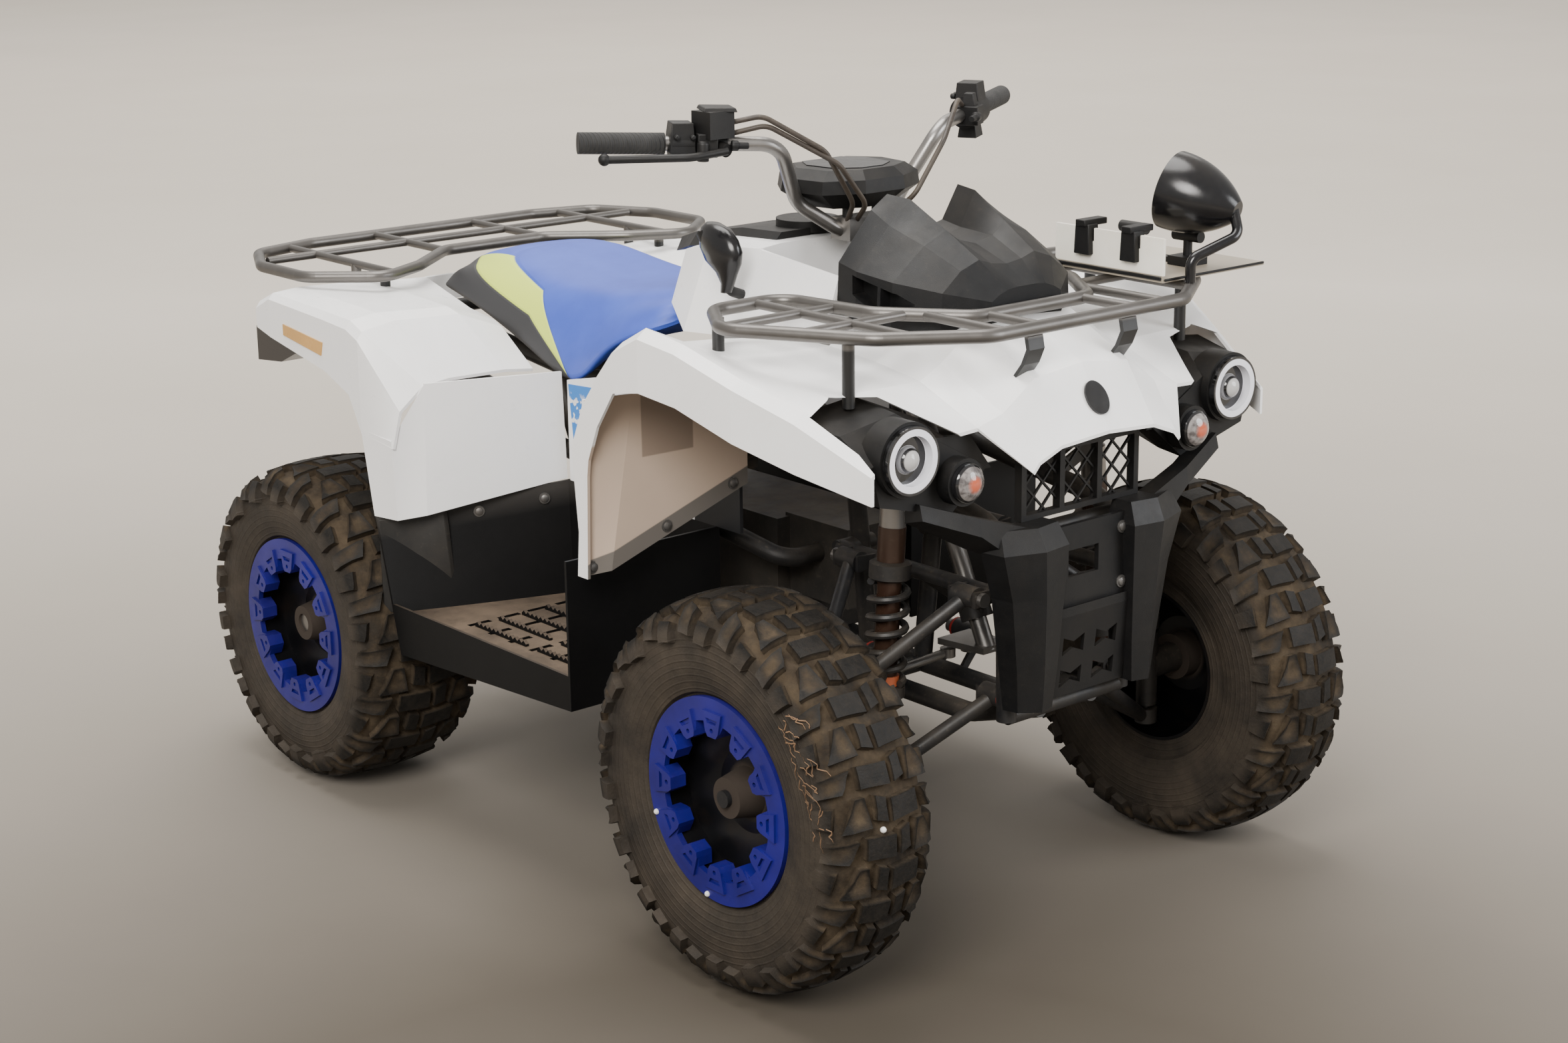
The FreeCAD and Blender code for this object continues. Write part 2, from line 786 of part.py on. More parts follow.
def shock_tabs(model, anchor):
    top = shock_ends(model)[0]
    wall = model.size("tab_wall")
    gap = model.size("shock_eye_half") + model.size("seat_gap")
    tabs = []
    for start in (top.x - gap - wall, top.x + gap):
        outline = [Vector(start, anchor.y, anchor.z - 12), Vector(start, anchor.y, anchor.z + 12),
                   Vector(start, top.y + 14, top.z + 14), Vector(start, top.y + 14, top.z - 10)]
        tabs.append(prism(outline, Vector(wall, 0, 0)))
    return tabs


def column_bush(model, height, reach_y, reach_z):
    """Bearing ring round the steering column and its struts to the frame."""
    head = steering_head(model)
    axis = steering_axis(model)
    centre = head - axis * ((head.z - height) / axis.z)
    bore = model.size("column_radius") + model.size("running_clearance")
    ring_out = rod(centre - axis * 16, centre + axis * 16, 25)
    struts = [rod(centre, Vector(centre.x, side * reach_y, reach_z), 9) for side in (1, -1)]
    hole = rod(centre - axis * 60, centre + axis * 60, bore)
    return fuse([ring_out] + struts).cut(hole)


def stays(model, front, rear):
    """Struts that carry the fenders; each ends against the skin's underside."""
    pieces = []
    for start, end, skin in (
            (Vector(560, 98, 684), Vector(560, 150, 922.5), front),
            (Vector(-640, 116, 755), Vector(-640, 200, 830), rear)):
        pieces.append(trimmed(rod(start, end, model.size("stay_radius")), skin))
    hoop_x = -300
    hoop_z = 776.4
    hoop = tube([Vector(hoop_x, 100, 705), Vector(hoop_x, 80, hoop_z),
                 Vector(hoop_x, 0, hoop_z)], model.size("rear_damper_pin"), 25)
    return pieces + [hoop]


def frame(model, front, rear, bumper_shape):
    r = model.size("frame_tube_radius")
    y = model.size("frame_rail_y")
    low = model.size("frame_low_z")
    bar = model.size("foot_bar_radius")
    bar_z = model.size("floor_z") - bar - model.size("seat_gap")
    nose_y = 54
    head_y = 118
    half = []
    lower = [Vector(-190, y, 400), Vector(-120, y, low), Vector(-50, y, low),
             Vector(420, nose_y, low),
             Vector(650, nose_y, low), Vector(796, nose_y, 366)]
    upper = [Vector(792, head_y, 360), Vector(786, head_y, 640), Vector(520, 95, 690),
             Vector(300, 95, 760), Vector(-250, 100, 700), Vector(-690, 120, 760)]
    half += [tube(lower, r, 60), tube(upper, r, 70)]
    half.append(tube([Vector(-190, y, 395), Vector(-330, 100, 690)], r))
    half.append(tube([Vector(430, nose_y, low), Vector(430, 95, 720)], r))
    arm_z = model.size("upper_pivot_z")
    half.append(rod(Vector(430, head_y, arm_z), Vector(790, head_y, arm_z), r - 3))
    half.append(rod(Vector(430, nose_y, arm_z), Vector(430, head_y + 8, arm_z), r - 3))
    half += bush_tabs(model, "upper", head_y - 4, (arm_z, arm_z))
    half += bush_tabs(model, "lower", nose_y, (low + 30, low))
    half += shock_tabs(model, Vector(648, 108, 668))
    rear_x, front_x = -80, 190
    reach = model.size("foot_bar_reach")
    for x in (rear_x, front_x):
        half.append(rod(Vector(x, y - 10, low + 6), Vector(x, reach, bar_z), bar))
    half.append(rod(Vector(rear_x, reach, bar_z), Vector(front_x, reach, bar_z), bar))
    half += stays(model, front, rear)
    for start, end in ((Vector(792, head_y, 560), Vector(828, head_y, 560)),
                       (Vector(792, head_y, 410), Vector(832, head_y - 20, 410))):
        half.append(trimmed(rod(start, end, 12), bumper_shape))
    tubes = half + [mirrored(piece) for piece in half]
    tubes.append(column_bush(model, 720, 96, 703))
    tubes.append(column_bush(model, 462, head_y, arm_z))
    for x, end_y, z in ((-190, y, 400), (-60, 98, low), (430, nose_y, low), (300, 95, 760),
                        (-690, 120, 760), (786, head_y, 632), (792, head_y, 366),
                        (-330, 100, 692), (rear_shock_top().x, 100, 640)):
        tubes.append(rod(Vector(x, -end_y, z), Vector(x, end_y, z), r - 2))
    model.feature("frame", fuse(tubes))


def engine(model):
    """The engine as one plain block: crankcase with its cylinder in front."""
    bottom = model.size("frame_low_z") + model.size("frame_tube_radius")
    bottom += model.size("seat_gap")
    case = Part.makeBox(330, 172, 545 - bottom, Vector(-90, -86, bottom))
    cylinder = Part.makeBox(150, 120, 130, Vector(230, -60, 420))
    model.feature("engine", fuse([case, cylinder]))


def exhaust(model):
    pipe = tube([Vector(310, -60.3, 500), Vector(310, -128, 500), Vector(180, -166, 540),
                 Vector(-330, -158, 600)], 15, 50)
    can = rod(Vector(-330, -158, 600), Vector(-680, -170, 672), 46)
    tail = rod(Vector(-680, -170, 672), Vector(-730, -172, 682), 15)
    model.feature("exhaust", fuse([pipe, can, tail]))


# Bodywork


def lamp_opening():
    """The cut in the front skin where each lamp cluster shows, seen from ahead."""
    corners = [(150, 742), (300, 857), (372, 864), (418, 846), (397, 804), (392, 690),
               (150, 640)]
    return prism([Vector(640, y, z) for y, z in corners], Vector(300, 0, 0))


def fender_flap(model):
    """Splash wall behind the front wheel, folded once, with its outer band."""
    wall = model.size("shell_wall")
    w = model.size("fender_half_width")
    fold_low = Vector(300, w - 38, 549)
    fold_high = Vector(300, w - 85, 812)
    outer = panel([Vector(275, w, 541), Vector(296, w, 815)], [fold_low, fold_high],
                  Vector(wall, 0, 0))
    inner = panel([fold_low, fold_high], [Vector(308, 205, 640), Vector(308, 205, 852)],
                  Vector(wall, 0, 0))
    band = prism([Vector(271, w, 541), Vector(277, w, 610), Vector(265, w, 736),
                  Vector(296, w, 806), Vector(332, w, 850), Vector(352, w, 836),
                  Vector(316, w, 785), Vector(303, w, 700), Vector(296, w, 541)],
                 Vector(0, -wall, 0))
    return [outer, inner, band]


def front_body(model):
    """Hood and both front fenders, as one moulded skin with its rear flaps."""
    wall = model.size("shell_wall")
    w = model.size("fender_half_width")
    fender_front = [(205, 884), (300, 888), (396, 896), (w - 26, 924), (w - 8, 912),
                    (w - 8, 836)]
    fender = half_shell([
        (296, [(205, 838), (300, 842), (400, 834), (w - 22, 812), (w, 790), (w, 700)]),
        (330, [(205, 862), (300, 874), (400, 880), (w - 22, 870), (w, 850), (w, 778)]),
        (372, [(205, 876), (300, 888), (400, 896), (w - 20, 908), (w, 895), (w, 836)]),
        (432, [(205, 884), (300, 892), (400, 902), (w - 18, 938), (w, 924), (w, 846)]),
        (506, fender_front),
    ], wall)
    hood = half_shell([
        (506, [(0, 948), (95, 946), (165, 905)] + fender_front),
        (608, [(0, 944), (95, 940), (165, 896), (205, 876), (300, 876), (390, 880),
               (455, 888), (474, 876), (474, 800)]),
        (700, [(0, 934), (95, 928), (165, 882), (205, 862), (300, 864), (372, 863),
               (418, 852), (440, 838), (440, 768)]),
        (816, [(0, 878), (95, 868), (155, 828), (205, 815), (270, 812), (330, 800),
               (385, 790), (402, 778), (402, 738)]),
    ], wall)
    tip = half_shell([
        (816, [(0, 878), (95, 868), (155, 828), (205, 815)]),
        (872, [(0, 788), (95, 782), (140, 765), (152, 752)]),
    ], wall)
    half = fuse([fender, hood, tip] + fender_flap(model)).cut(lamp_opening())
    half = max(half.Solids, key=lambda solid: solid.Volume)
    return model.feature("front_body", fuse([half, mirrored(half)]))


def rear_body(model):
    """Rear fenders: a top skin on each side, closed in front beside the footwell."""
    wall = model.size("shell_wall")
    w = model.size("fender_half_width")
    shoulder = [(215, 792), (300, 826), (430, 832), (w - 10, 822), (w, 808), (w, 650)]
    top = half_shell([
        (-668, [(150, 826), (300, 834), (440, 838), (w - 12, 826), (w - 4, 815),
                (w - 4, 782)]),
        (-615, [(178, 834), (300, 846), (440, 852), (w - 10, 848), (w, 838), (w, 772)]),
        (-441, [(205, 808), (300, 838), (440, 846), (w - 10, 840), (w, 828), (w, 741)]),
        (-365, [(206, 798), (300, 834), (440, 842), (w - 10, 836), (w, 822), (w, 712)]),
        (-330, shoulder),
    ], wall)
    corner = half_shell([
        (-330, shoulder),
        (-245, [(213, 733), (270, 740), (380, 742), (432, 736), (478, 700), (494, 640)]),
    ], wall)
    fold = [Vector(-245, 492, 519), Vector(-250, 494, 652)]
    front_edge = [Vector(-221, 450, 525), Vector(-242, 430, 740)]
    flank = panel([Vector(-304, w, 517), Vector(-332, w, 660)], fold, Vector(0, -wall, 0))
    chamfer = panel(fold, front_edge, Vector(-wall, -wall, 0))
    front = panel(front_edge, [Vector(-165, 206, 557), Vector(-172, 206, 738)],
                  Vector(-wall, 0, 0))
    half = fuse([top, corner, flank, chamfer, front])
    tail = Part.makeBox(8, 300, 46, Vector(-672, -150, 780))
    return model.feature("rear_body", fuse([half, mirrored(half), tail]))


def tank_cover(model):
    """Tank fairing, with a wing each side that runs forward past the steering."""
    back = model.size("seat_front_x") + model.size("seat_gap")
    rear = [Vector(back, 150, 880), Vector(back, 118, 962), Vector(back, 60, 970)]
    middle = [Vector(160, 205, 855), Vector(160, 152, 984), Vector(160, 110, 992)]
    front = [Vector(298, 208, 866), Vector(298, 160, 996), Vector(298, 120, 1000)]
    sections = []
    for half in (rear, middle, front):
        sections.append(half + [Vector(p.x, -p.y, p.z) for p in reversed(half)])
    wall = model.size("shell_wall")
    wing = panel([Vector(290, 207, 868), Vector(290, 160, 995)],
                 [Vector(486, 196, 900), Vector(486, 168, 978)], Vector(0, -wall, 0))
    base = (760 + model.size("frame_tube_radius") - 2 + model.size("seat_gap"))
    tank = Part.makeBox(206, 156, 900 - base, Vector(80, -78, base))
    return model.feature("tank_cover", fuse([loft(sections), tank, wing, mirrored(wing)]))


def fuel_cap(model):
    cap = Part.makeCylinder(50, 18, Vector(221, 0, 1000.3), Z_AXIS)
    model.feature("fuel_cap", cap)


def seat(model):
    """Cushion with side skirts that hang lowest beside the rider's knees."""
    base = 792
    sections = [
        (model.size("seat_front_x"), 100, 165, 905, 835),
        (-60, 122, 196, 884, 800), (-150, 130, 202, 872, 712),
        (-300, 140, 202, 876, 766), (-450, 134, 192, 896, 806), (-560, 122, 172, 886, 818),
        (-612, 112, 160, 845, 816),
    ]
    rows = []
    for x, top_half, low_half, top, low in sections:
        half = [Vector(x, top_half, top), Vector(x, low_half, low),
                Vector(x, low_half - 14, low), Vector(x, 128, max(base, low + 4))]
        rows.append(half + [Vector(p.x, -p.y, p.z) for p in reversed(half)])
    model.feature("seat", loft(rows))


def dash_cowl(model, skin):
    """Faceted nose cowl: two humps with a valley between and an intake each side."""
    rows = [
        (486, [(0, 1030), (40, 1040), (72, 1090), (104, 1070), (168, 1000), (172, 930)]),
        (530, [(0, 1024), (36, 1034), (66, 1086), (108, 1052), (172, 992), (176, 920)]),
        (600, [(0, 1022), (34, 1030), (60, 1048), (104, 1030), (166, 984), (170, 910)]),
        (664, [(0, 1000), (30, 1004), (56, 1012), (92, 1000), (128, 972), (134, 900)]),
        (706, [(0, 974), (20, 974), (38, 972), (56, 966), (70, 958), (74, 890)]),
    ]
    sections = []
    for x, half in rows:
        right = [Vector(x, -y, z) for y, z in reversed(half)]
        left = [Vector(x, y, z) for y, z in half[1:]]
        sections.append(right + left)
    shape = loft(sections)
    intake = prism([Vector(520, 150, 986), Vector(606, 150, 968), Vector(634, 150, 952),
                    Vector(560, 150, 940), Vector(522, 150, 958)], Vector(0, 60, 0))
    rib = Part.makeBox(6, 60, 60, Vector(572, 120, 935))
    intake = intake.cut(rib)
    shape = shape.cut(fuse([intake, mirrored(intake)]))
    return model.feature("dash_cowl", trimmed(shape, skin))


def footwell(model, side_name, side):
    """One foot box: slotted floor, inner wall, slanted rear wall and outer rail."""
    w = model.size("fender_half_width")
    z = model.size("floor_z")
    wall = model.size("shell_wall")
    rear_x = (model.size("rear_axle_x") + model.size("rear_tyre_radius")
              + model.size("tyre_clearance"))
    plan = [Vector(rear_x - 12, w, z), Vector(236, w, z), Vector(236, 205, z),
            Vector(-160, 205, z)]
    floor = prism(plan, Vector(0, 0, model.size("floor_wall")))
    slots = []
    for column in range(6):
        for row in range(4):
            slots.append(Part.makeBox(12, 42, 20, Vector(-120 + column * 58, 232 + row * 58,
                                                         z + 4)))
    floor = floor.cut(fuse(slots))
    inner = Part.makeBox(396, wall, 556 - z, Vector(-160, 205, z))
    rear = panel([Vector(rear_x, w, 290), Vector(rear_x - 58, w, 516)],
                 [Vector(-156, 205, 352), Vector(-160, 205, 556)], Vector(wall, 0, 0))
    rail = prism([Vector(rear_x, w, 290), Vector(236, w, 318), Vector(236, w, z + 22),
                  Vector(rear_x - 18, w, z + 22)], Vector(0, -wall, 0))
    front = Part.makeBox(wall, w - 205, 238, Vector(236, 205, 318))
    shape = fuse([floor, inner, rear, rail, front])
    if side < 0:
        shape = mirrored(shape)
    model.feature(f"footwell_{side_name}", shape)


def side_panels(model):
    skin = loft([
        [Vector(-150, 205, 556.3), Vector(-150, 211, 556.3), Vector(-150, 211, 728),
         Vector(-150, 205, 728)],
        [Vector(300, 205, 556.3), Vector(300, 211, 556.3), Vector(300, 211, 820),
         Vector(300, 205, 820)],
    ])
    model.feature("side_panels", both_sides(skin))


def lamp_pieces():
    """Headlamp with a raised outer ring round its projector, and the indicator."""
    centre = Vector(782, 330, 790)
    head = rod(centre, centre + X_AXIS * 40, 48)
    head = head.cut(rod(centre + X_AXIS * 26, centre + X_AXIS * 60, 35))
    head = head.fuse(Part.makeSphere(20, centre + X_AXIS * 22))
    small = rod(Vector(800, 234, 744), Vector(830, 234, 744), 28)
    dome = Part.makeSphere(34, Vector(811, 234, 744)).common(
        rod(Vector(829, 234, 744), Vector(860, 234, 744), 27))
    return head, small.fuse(dome)


def lamp_housings(model, body, guard):
    """Dark cluster behind the opening of each front fender, with a lamp shroud."""
    rows = [
        [Vector(664, 424, 836), Vector(664, 436, 780), Vector(664, 250, 720),
         Vector(664, 180, 800), Vector(664, 300, 850)],
        [Vector(752, 402, 824), Vector(752, 396, 744), Vector(752, 240, 700),
         Vector(752, 160, 760), Vector(752, 300, 840)],
        [Vector(800, 388, 786), Vector(800, 372, 728), Vector(800, 240, 694),
         Vector(800, 170, 752), Vector(800, 280, 812)],
    ]
    head, small = lamp_pieces()
    gap = model.size("seat_gap")
    sleeve = rod(Vector(770, 234, 744), Vector(824, 234, 744), 34)
    bezel = rod(Vector(770, 330, 790), Vector(812, 330, 790), 53)
    shape = fuse([loft(rows), sleeve, bezel])
    shape = shape.cut(rod(Vector(782 - gap, 330, 790), Vector(860, 330, 790), 48 + gap))
    shape = shape.cut(rod(Vector(800 - gap, 234, 744), Vector(860, 234, 744), 28 + gap))
    shape = trimmed(trimmed(shape, body.Shape), guard.Shape)
    model.feature("lamp_housings", both_sides(shape))
    model.feature("headlights", both_sides(head.cut(body.Shape)))
    model.feature("front_indicators", both_sides(small))


def tail_lamps(model):
    w = model.size("fender_half_width")
    inner = w - model.size("shell_wall") - model.size("seat_gap") - 4
    start = w - 100
    rows = []
    for x, low in ((-680, 722), (-600, 730), (-550, 752)):
        rows.append([Vector(x, start, low), Vector(x, inner, low), Vector(x, inner, 782),
                     Vector(x, start, 782)])
    model.feature("tail_lamps", both_sides(loft(rows)))


def bumper(model):
    """Two faceted arms that flare out under the lamps, and a pierced plate."""
    rows = []
    for z, back_x, front_x, inner, ridge, outer in (
            (388, 812, 858, 84, 112, 146), (450, 809, 862, 78, 112, 152),
            (560, 809, 868, 72, 116, 168), (632, 809, 872, 68, 122, 190),
            (664, 812, 856, 76, 124, 182)):
        rows.append([Vector(back_x, inner, z), Vector(back_x, outer, z),
                     Vector(front_x - 22, outer - 6, z), Vector(front_x, ridge, z),
                     Vector(front_x - 8, inner, z)])
    arm = loft(rows)
    wing = loft([
        [Vector(812, 120, 596), Vector(812, 120, 660), Vector(842, 120, 660),
         Vector(846, 120, 596)],
        [Vector(804, 214, 640), Vector(804, 214, 690), Vector(832, 214, 690),
         Vector(836, 214, 664)],
        [Vector(778, 306, 690), Vector(778, 306, 722), Vector(808, 306, 722),
         Vector(814, 306, 700)],
    ])
    plate = Part.makeBox(8, 160, 128, Vector(832, -80, 522))
    opening = Part.makeBox(40, 62, 40, Vector(820, -44, 572))
    lower = prism([Vector(834, -80, 392), Vector(828, -80, 392), Vector(842, -80, 516),
                   Vector(848, -80, 530), Vector(848, -80, 516)], Vector(0, 160, 0))
    slots = []
    for z in (420, 470):
        for y in (-34, 34):
            slots.append(prism([Vector(800, y - 22, z - 14), Vector(800, y, z - 5),
                                Vector(800, y + 22, z - 14), Vector(800, y + 22, z + 14),
                                Vector(800, y, z + 5), Vector(800, y - 22, z + 14)],
                               Vector(80, 0, 0)))
    plates = fuse([plate.cut(opening), lower.cut(fuse(slots))])
    shape = fuse([arm, mirrored(arm), wing, mirrored(wing), plates])
    return model.feature("bumper", shape)


def grille(model):
    """Four upright bars and top and bottom rails over a diamond mesh."""
    low, high, half, x = 664.3, 764.0, 116, 806
    bars = [Part.makeBox(14, 10, high - low, Vector(x, y - 5, low))
            for y in (-half, -half / 3, half / 3, half)]
    for z in (low, high - 8):
        bars.append(Part.makeBox(14, 2 * half, 8, Vector(x, -half, z)))
    frame_box = Part.makeBox(4, 2 * half, high - low, Vector(x + 4, -half, low))
    rise = high - low
    for hand in (1, -1):
        for start in range(-3, 4):
            y = start * 36
            strip = prism([Vector(x + 4, y - hand * rise / 2 - 2, low),
                           Vector(x + 4, y - hand * rise / 2 + 2, low),
                           Vector(x + 4, y + hand * rise / 2 + 2, high),
                           Vector(x + 4, y + hand * rise / 2 - 2, high)], Vector(4, 0, 0))
            bars.append(strip.common(frame_box))
    model.feature("grille", fuse(bars))


def strap(points, wall, y, width):
    """A flat bar bent along points (x, z), laid across y."""
    outer = [Vector(x, y - width / 2, z) for x, z in points]
    inner = [Vector(x - wall, y - width / 2, z) for x, z in reversed(points)]
    return prism(outer + inner, Vector(0, width, 0))


def front_rack(model, skin):
    z = model.size("front_rack_z")
    w = model.size("rack_half_width")
    r = model.size("rack_tube_radius")
    outline = [(833, 0), (833, 0.45 * w), (740, 0.75 * w), (540, w), (425, 0.82 * w),
               (425, 0.52 * w), (600, 0.47 * w), (722, 0.26 * w), (722, 0)]
    loop = rack_loop(outline, z, r)
    small = model.size("rack_bar_radius")
    half = [
        rod(Vector(833, 0.22 * w, z), Vector(722, 0.22 * w, z), small),
        rod(Vector(425, 0.64 * w, z), Vector(775, 0.64 * w, z), small),
        rod(Vector(660, 0.37 * w, z), Vector(829, 0.37 * w, z), small),
        rod(Vector(640, 0.42 * w, z), Vector(640, 0.88 * w, z), small),
        rod(Vector(530, 0.5 * w, z), Vector(530, 0.98 * w, z), small),
    ]
    front_leg = strap([(806, z), (818, z - 16), (822, z - 34), (812, z - 56), (796, z - 76),
                       (790, z - 90)], 7, 0.22 * w, 30)
    half.append(standing(front_leg, skin))
    for x, y in ((700, 0.78 * w), (470, 0.88 * w)):
        half.append(standing(rod(Vector(x, y, z), Vector(x, y, z - 100), 9), skin))
    model.feature("front_rack", fuse([loop] + half + [mirrored(piece) for piece in half]))


def rack_loop(outline, z, radius):
    half = tube([Vector(x, y, z) for x, y in outline], radius, 45)
    return fuse([half, mirrored(half)])


def rear_rack(model, skin):
    z = model.size("rear_rack_z")
    w = model.size("rack_half_width")
    r = model.size("rack_tube_radius")
    outline = [(-905, 0), (-905, 0.57 * w), (-870, 0.86 * w), (-750, w), (-600, w),
               (-505, 0.76 * w), (-560, 0.53 * w), (-665, 0.25 * w), (-665, 0)]
    loop = rack_loop(outline, z, r)
    small = model.size("rack_bar_radius")
    half = [rod(Vector(-905, 0.25 * w, z), Vector(-665, 0.25 * w, z), small),
            rod(Vector(-893, 0.69 * w, z), Vector(-520, 0.69 * w, z), small)]
    for x in (-655, -560):
        leg = rod(Vector(x, 0.69 * w, z), Vector(x, 0.69 * w, z - 60), 9)
        half.append(standing(leg, skin))
    cross = rod(Vector(-790, -0.92 * w, z), Vector(-790, 0.92 * w, z), small)
    model.feature("rear_rack", fuse([loop, cross] + half + [mirrored(p) for p in half]))


def spotlight(model):
    """Round work lamp: a deep bowl open to the rear, on its bent stem."""
    base = Vector(798, 350, 1052)
    axis = Vector(-0.92, -0.24, 0.22).normalize()
    side = axis.cross(Z_AXIS).normalize()
    depth, radius, wall = 112, 60, 4

    def spot(out, along):
        return base + side * out + axis * along

    outer = Part.Arc(spot(16, 0), spot(0.8 * radius, 0.42 * depth), spot(radius, depth))
    inner = Part.Arc(spot(radius - wall, depth), spot(0.8 * radius - wall, 0.46 * depth),
                     spot(16, 0.2 * depth))
    edges = [outer.toShape(),
             Part.LineSegment(spot(radius, depth), spot(radius - wall, depth)).toShape(),
             inner.toShape(),
             Part.LineSegment(spot(16, 0.2 * depth), spot(0, 0.2 * depth)).toShape(),
             Part.LineSegment(spot(0, 0.2 * depth), spot(0, 0)).toShape(),
             Part.LineSegment(spot(0, 0), spot(16, 0)).toShape()]
    bowl = Part.Face(Part.Wire(edges)).revolve(base, axis, 360)
    lens = rod(spot(0, 0.8 * depth), spot(0, 0.86 * depth), 0.95 * radius)
    arm = tube([spot(0, 6), Vector(812, 338, 1020),
                Vector(786, 262, 990), Vector(786, 262, 955.3)], 8, 20)
    model.feature("spotlight", fuse([bowl, lens, arm]))


def accessory_plate(model):
    """Tray on the rack with a notched upright flange on its inner edge."""
    low = model.size("front_rack_z") + model.size("rack_tube_radius")
    low += model.size("seat_gap")
    plate = Part.makeBox(220, 230, 5, Vector(545, 225, low))
    flange = Part.makeBox(220, 5, 66, Vector(545, 225, low))
    notches = [Part.makeBox(34, 30, 24, Vector(x, 215, low + 46)) for x in (591, 685)]
    model.feature("accessory_plate", fuse([plate, flange]).cut(fuse(notches)))
    half = []
    for x in (590, 700):
        top = low + 5 + model.size("seat_gap")
        half.append(Part.makeBox(40, 46, 14, Vector(x - 20, 330, top)))
        half.append(rod(Vector(x, 353, top), Vector(x, 353, top + 40), 7))
        half.append(rod(Vector(x - 26, 353, top + 44), Vector(x + 26, 353, top + 44), 9))
    bridge = Part.makeBox(110, 16, 8, Vector(590, 345, low + 5 + model.size("seat_gap")))
    model.feature("plate_clamps", fuse(half + [bridge]))


def gear_lever(model, cover):
    """Shift lever beside the tank, bent up to a horn-shaped knob."""
    stem = tube([Vector(280, -178, 924), Vector(288, -216, 938), Vector(280, -222, 968),
                 Vector(262, -222, 992)], 8, 20)
    knob = Part.makeCone(11, 17, 52, Vector(270, -222, 978), Vector(-20, 0, 38))
    model.feature("gear_lever", fuse([stem, knob]).cut(cover.Shape))


def tow_hitch(model):
    """Tongue bolted behind the axle carrier, with one hole for the pin."""
    x = model.size("rear_axle_x")
    z = model.size("rear_tyre_radius")
    wall = model.size("hitch_wall")
    reach = model.size("hitch_reach")
    tongue = Part.makeBox(reach, 60, wall, Vector(x - reach, -30, z - wall / 2))
    saddle = Part.makeBox(20, 60, 56, Vector(x - 52, -30, z - 28))
    seat = model.size("carrier_radius") + model.size("seat_gap")
    pocket = rod(Vector(x, -100, z), Vector(x, 100, z), seat)
    hole = Part.makeCylinder(model.size("hitch_hole_radius"), 60,
                             Vector(x - reach + 30, 0, z - 30), Z_AXIS)
    model.feature("tow_hitch", fuse([tongue, saddle]).cut(pocket).cut(hole))


def tank_top(model, cover):
    """Dark cover on top of the tank, behind and beside the filler cap."""
    rows = []
    for x, half, top in ((-40, 60, 962), (40, 96, 984), (160, 104, 1004), (262, 110, 1009)):
        rows.append([Vector(x, -half, top - 22), Vector(x, -half * 0.8, top),
                     Vector(x, half * 0.8, top), Vector(x, half, top - 22)])
    shape = loft(rows).cut(Part.makeCylinder(50.3, 80, Vector(221, 0, 980), Z_AXIS))
    return trimmed(shape, cover.Shape)


def cables(model, *held):
    """Control cables and brake hose, from the controls down to the bar clamp."""
    paths = (
        [(312, -246, 1192), (350, -196, 1204), (404, -120, 1150), (400, -62, 1066),
         (366, -44, 1034)],
        [(296, -262, 1170), (352, -190, 1190), (416, -104, 1130), (414, -48, 1064),
         (372, -30, 1034)],
        [(296, 268, 1172), (352, 200, 1196), (408, 118, 1146), (404, 60, 1066),
         (366, 44, 1034)],
    )
    tool = fuse([part.Shape for part in held])
    cords = [trimmed(tube([Vector(*point) for point in path], 4, 34), tool)
             for path in paths]
    model.feature("cables", Part.makeCompound(cords))


# Assembly


def check(model):
    model.doc.recompute()
    for obj in model.doc.Objects:
        if "Invalid" in obj.State or "Error" in obj.State:
            raise RuntimeError(f"{obj.Label} failed: {obj.State}")
    bad = [part.Label for part in model.parts
           if part.Shape.isNull() or not part.Shape.isValid()]
    if bad:
        raise RuntimeError(f"no valid shape: {bad}")


def write(model):
    os.makedirs("parts", exist_ok=True)
    for part in model.parts:
        part.Shape.exportStep(f"parts/{part.Label}.step")
        print(part.Label, len(part.Shape.Solids), round(part.Shape.Volume))


def main():
    model = Model()
    spindle_bore = "sizes.spindle_radius + sizes.running_clearance"
    for side_name, side in SIDES:
        wheel(model, "front", side_name, side, spindle_bore)
        wheel(model, "rear", side_name, side, "sizes.rear_axle_radius")
        knuckle(model, side_name, side)
        tie_rod(model, side_name, side)
        footwell(model, side_name, side)
    rear_axle(model)
    bar = handlebar(model)
    grips(model)
    instrument_pod(model, bar)
    cables(model, bar, *controls(model))
    arms(model)
    shocks(model)
    swingarm(model)
    rear_shock(model)
    engine(model)
    exhaust(model)
    body = front_body(model)
    tail = rear_body(model)
    cover = tank_cover(model)
    model.feature("tank_top", tank_top(model, cover))
    fuel_cap(model)
    seat(model)
    dash_cowl(model, body.Shape)
    side_panels(model)
    guard = bumper(model)
    lamp_housings(model, body, guard)
    tail_lamps(model)
    grille(model)
    front_rack(model, body.Shape)
    rear_rack(model, tail.Shape)
    spotlight(model)
    accessory_plate(model)
    gear_lever(model, cover)
    tow_hitch(model)
    frame(model, body.Shape, tail.Shape, guard.Shape)
    check(model)
    write(model)


main()
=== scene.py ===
import json
import math
import random

import bmesh
import bpy
from mathutils import Matrix, Vector


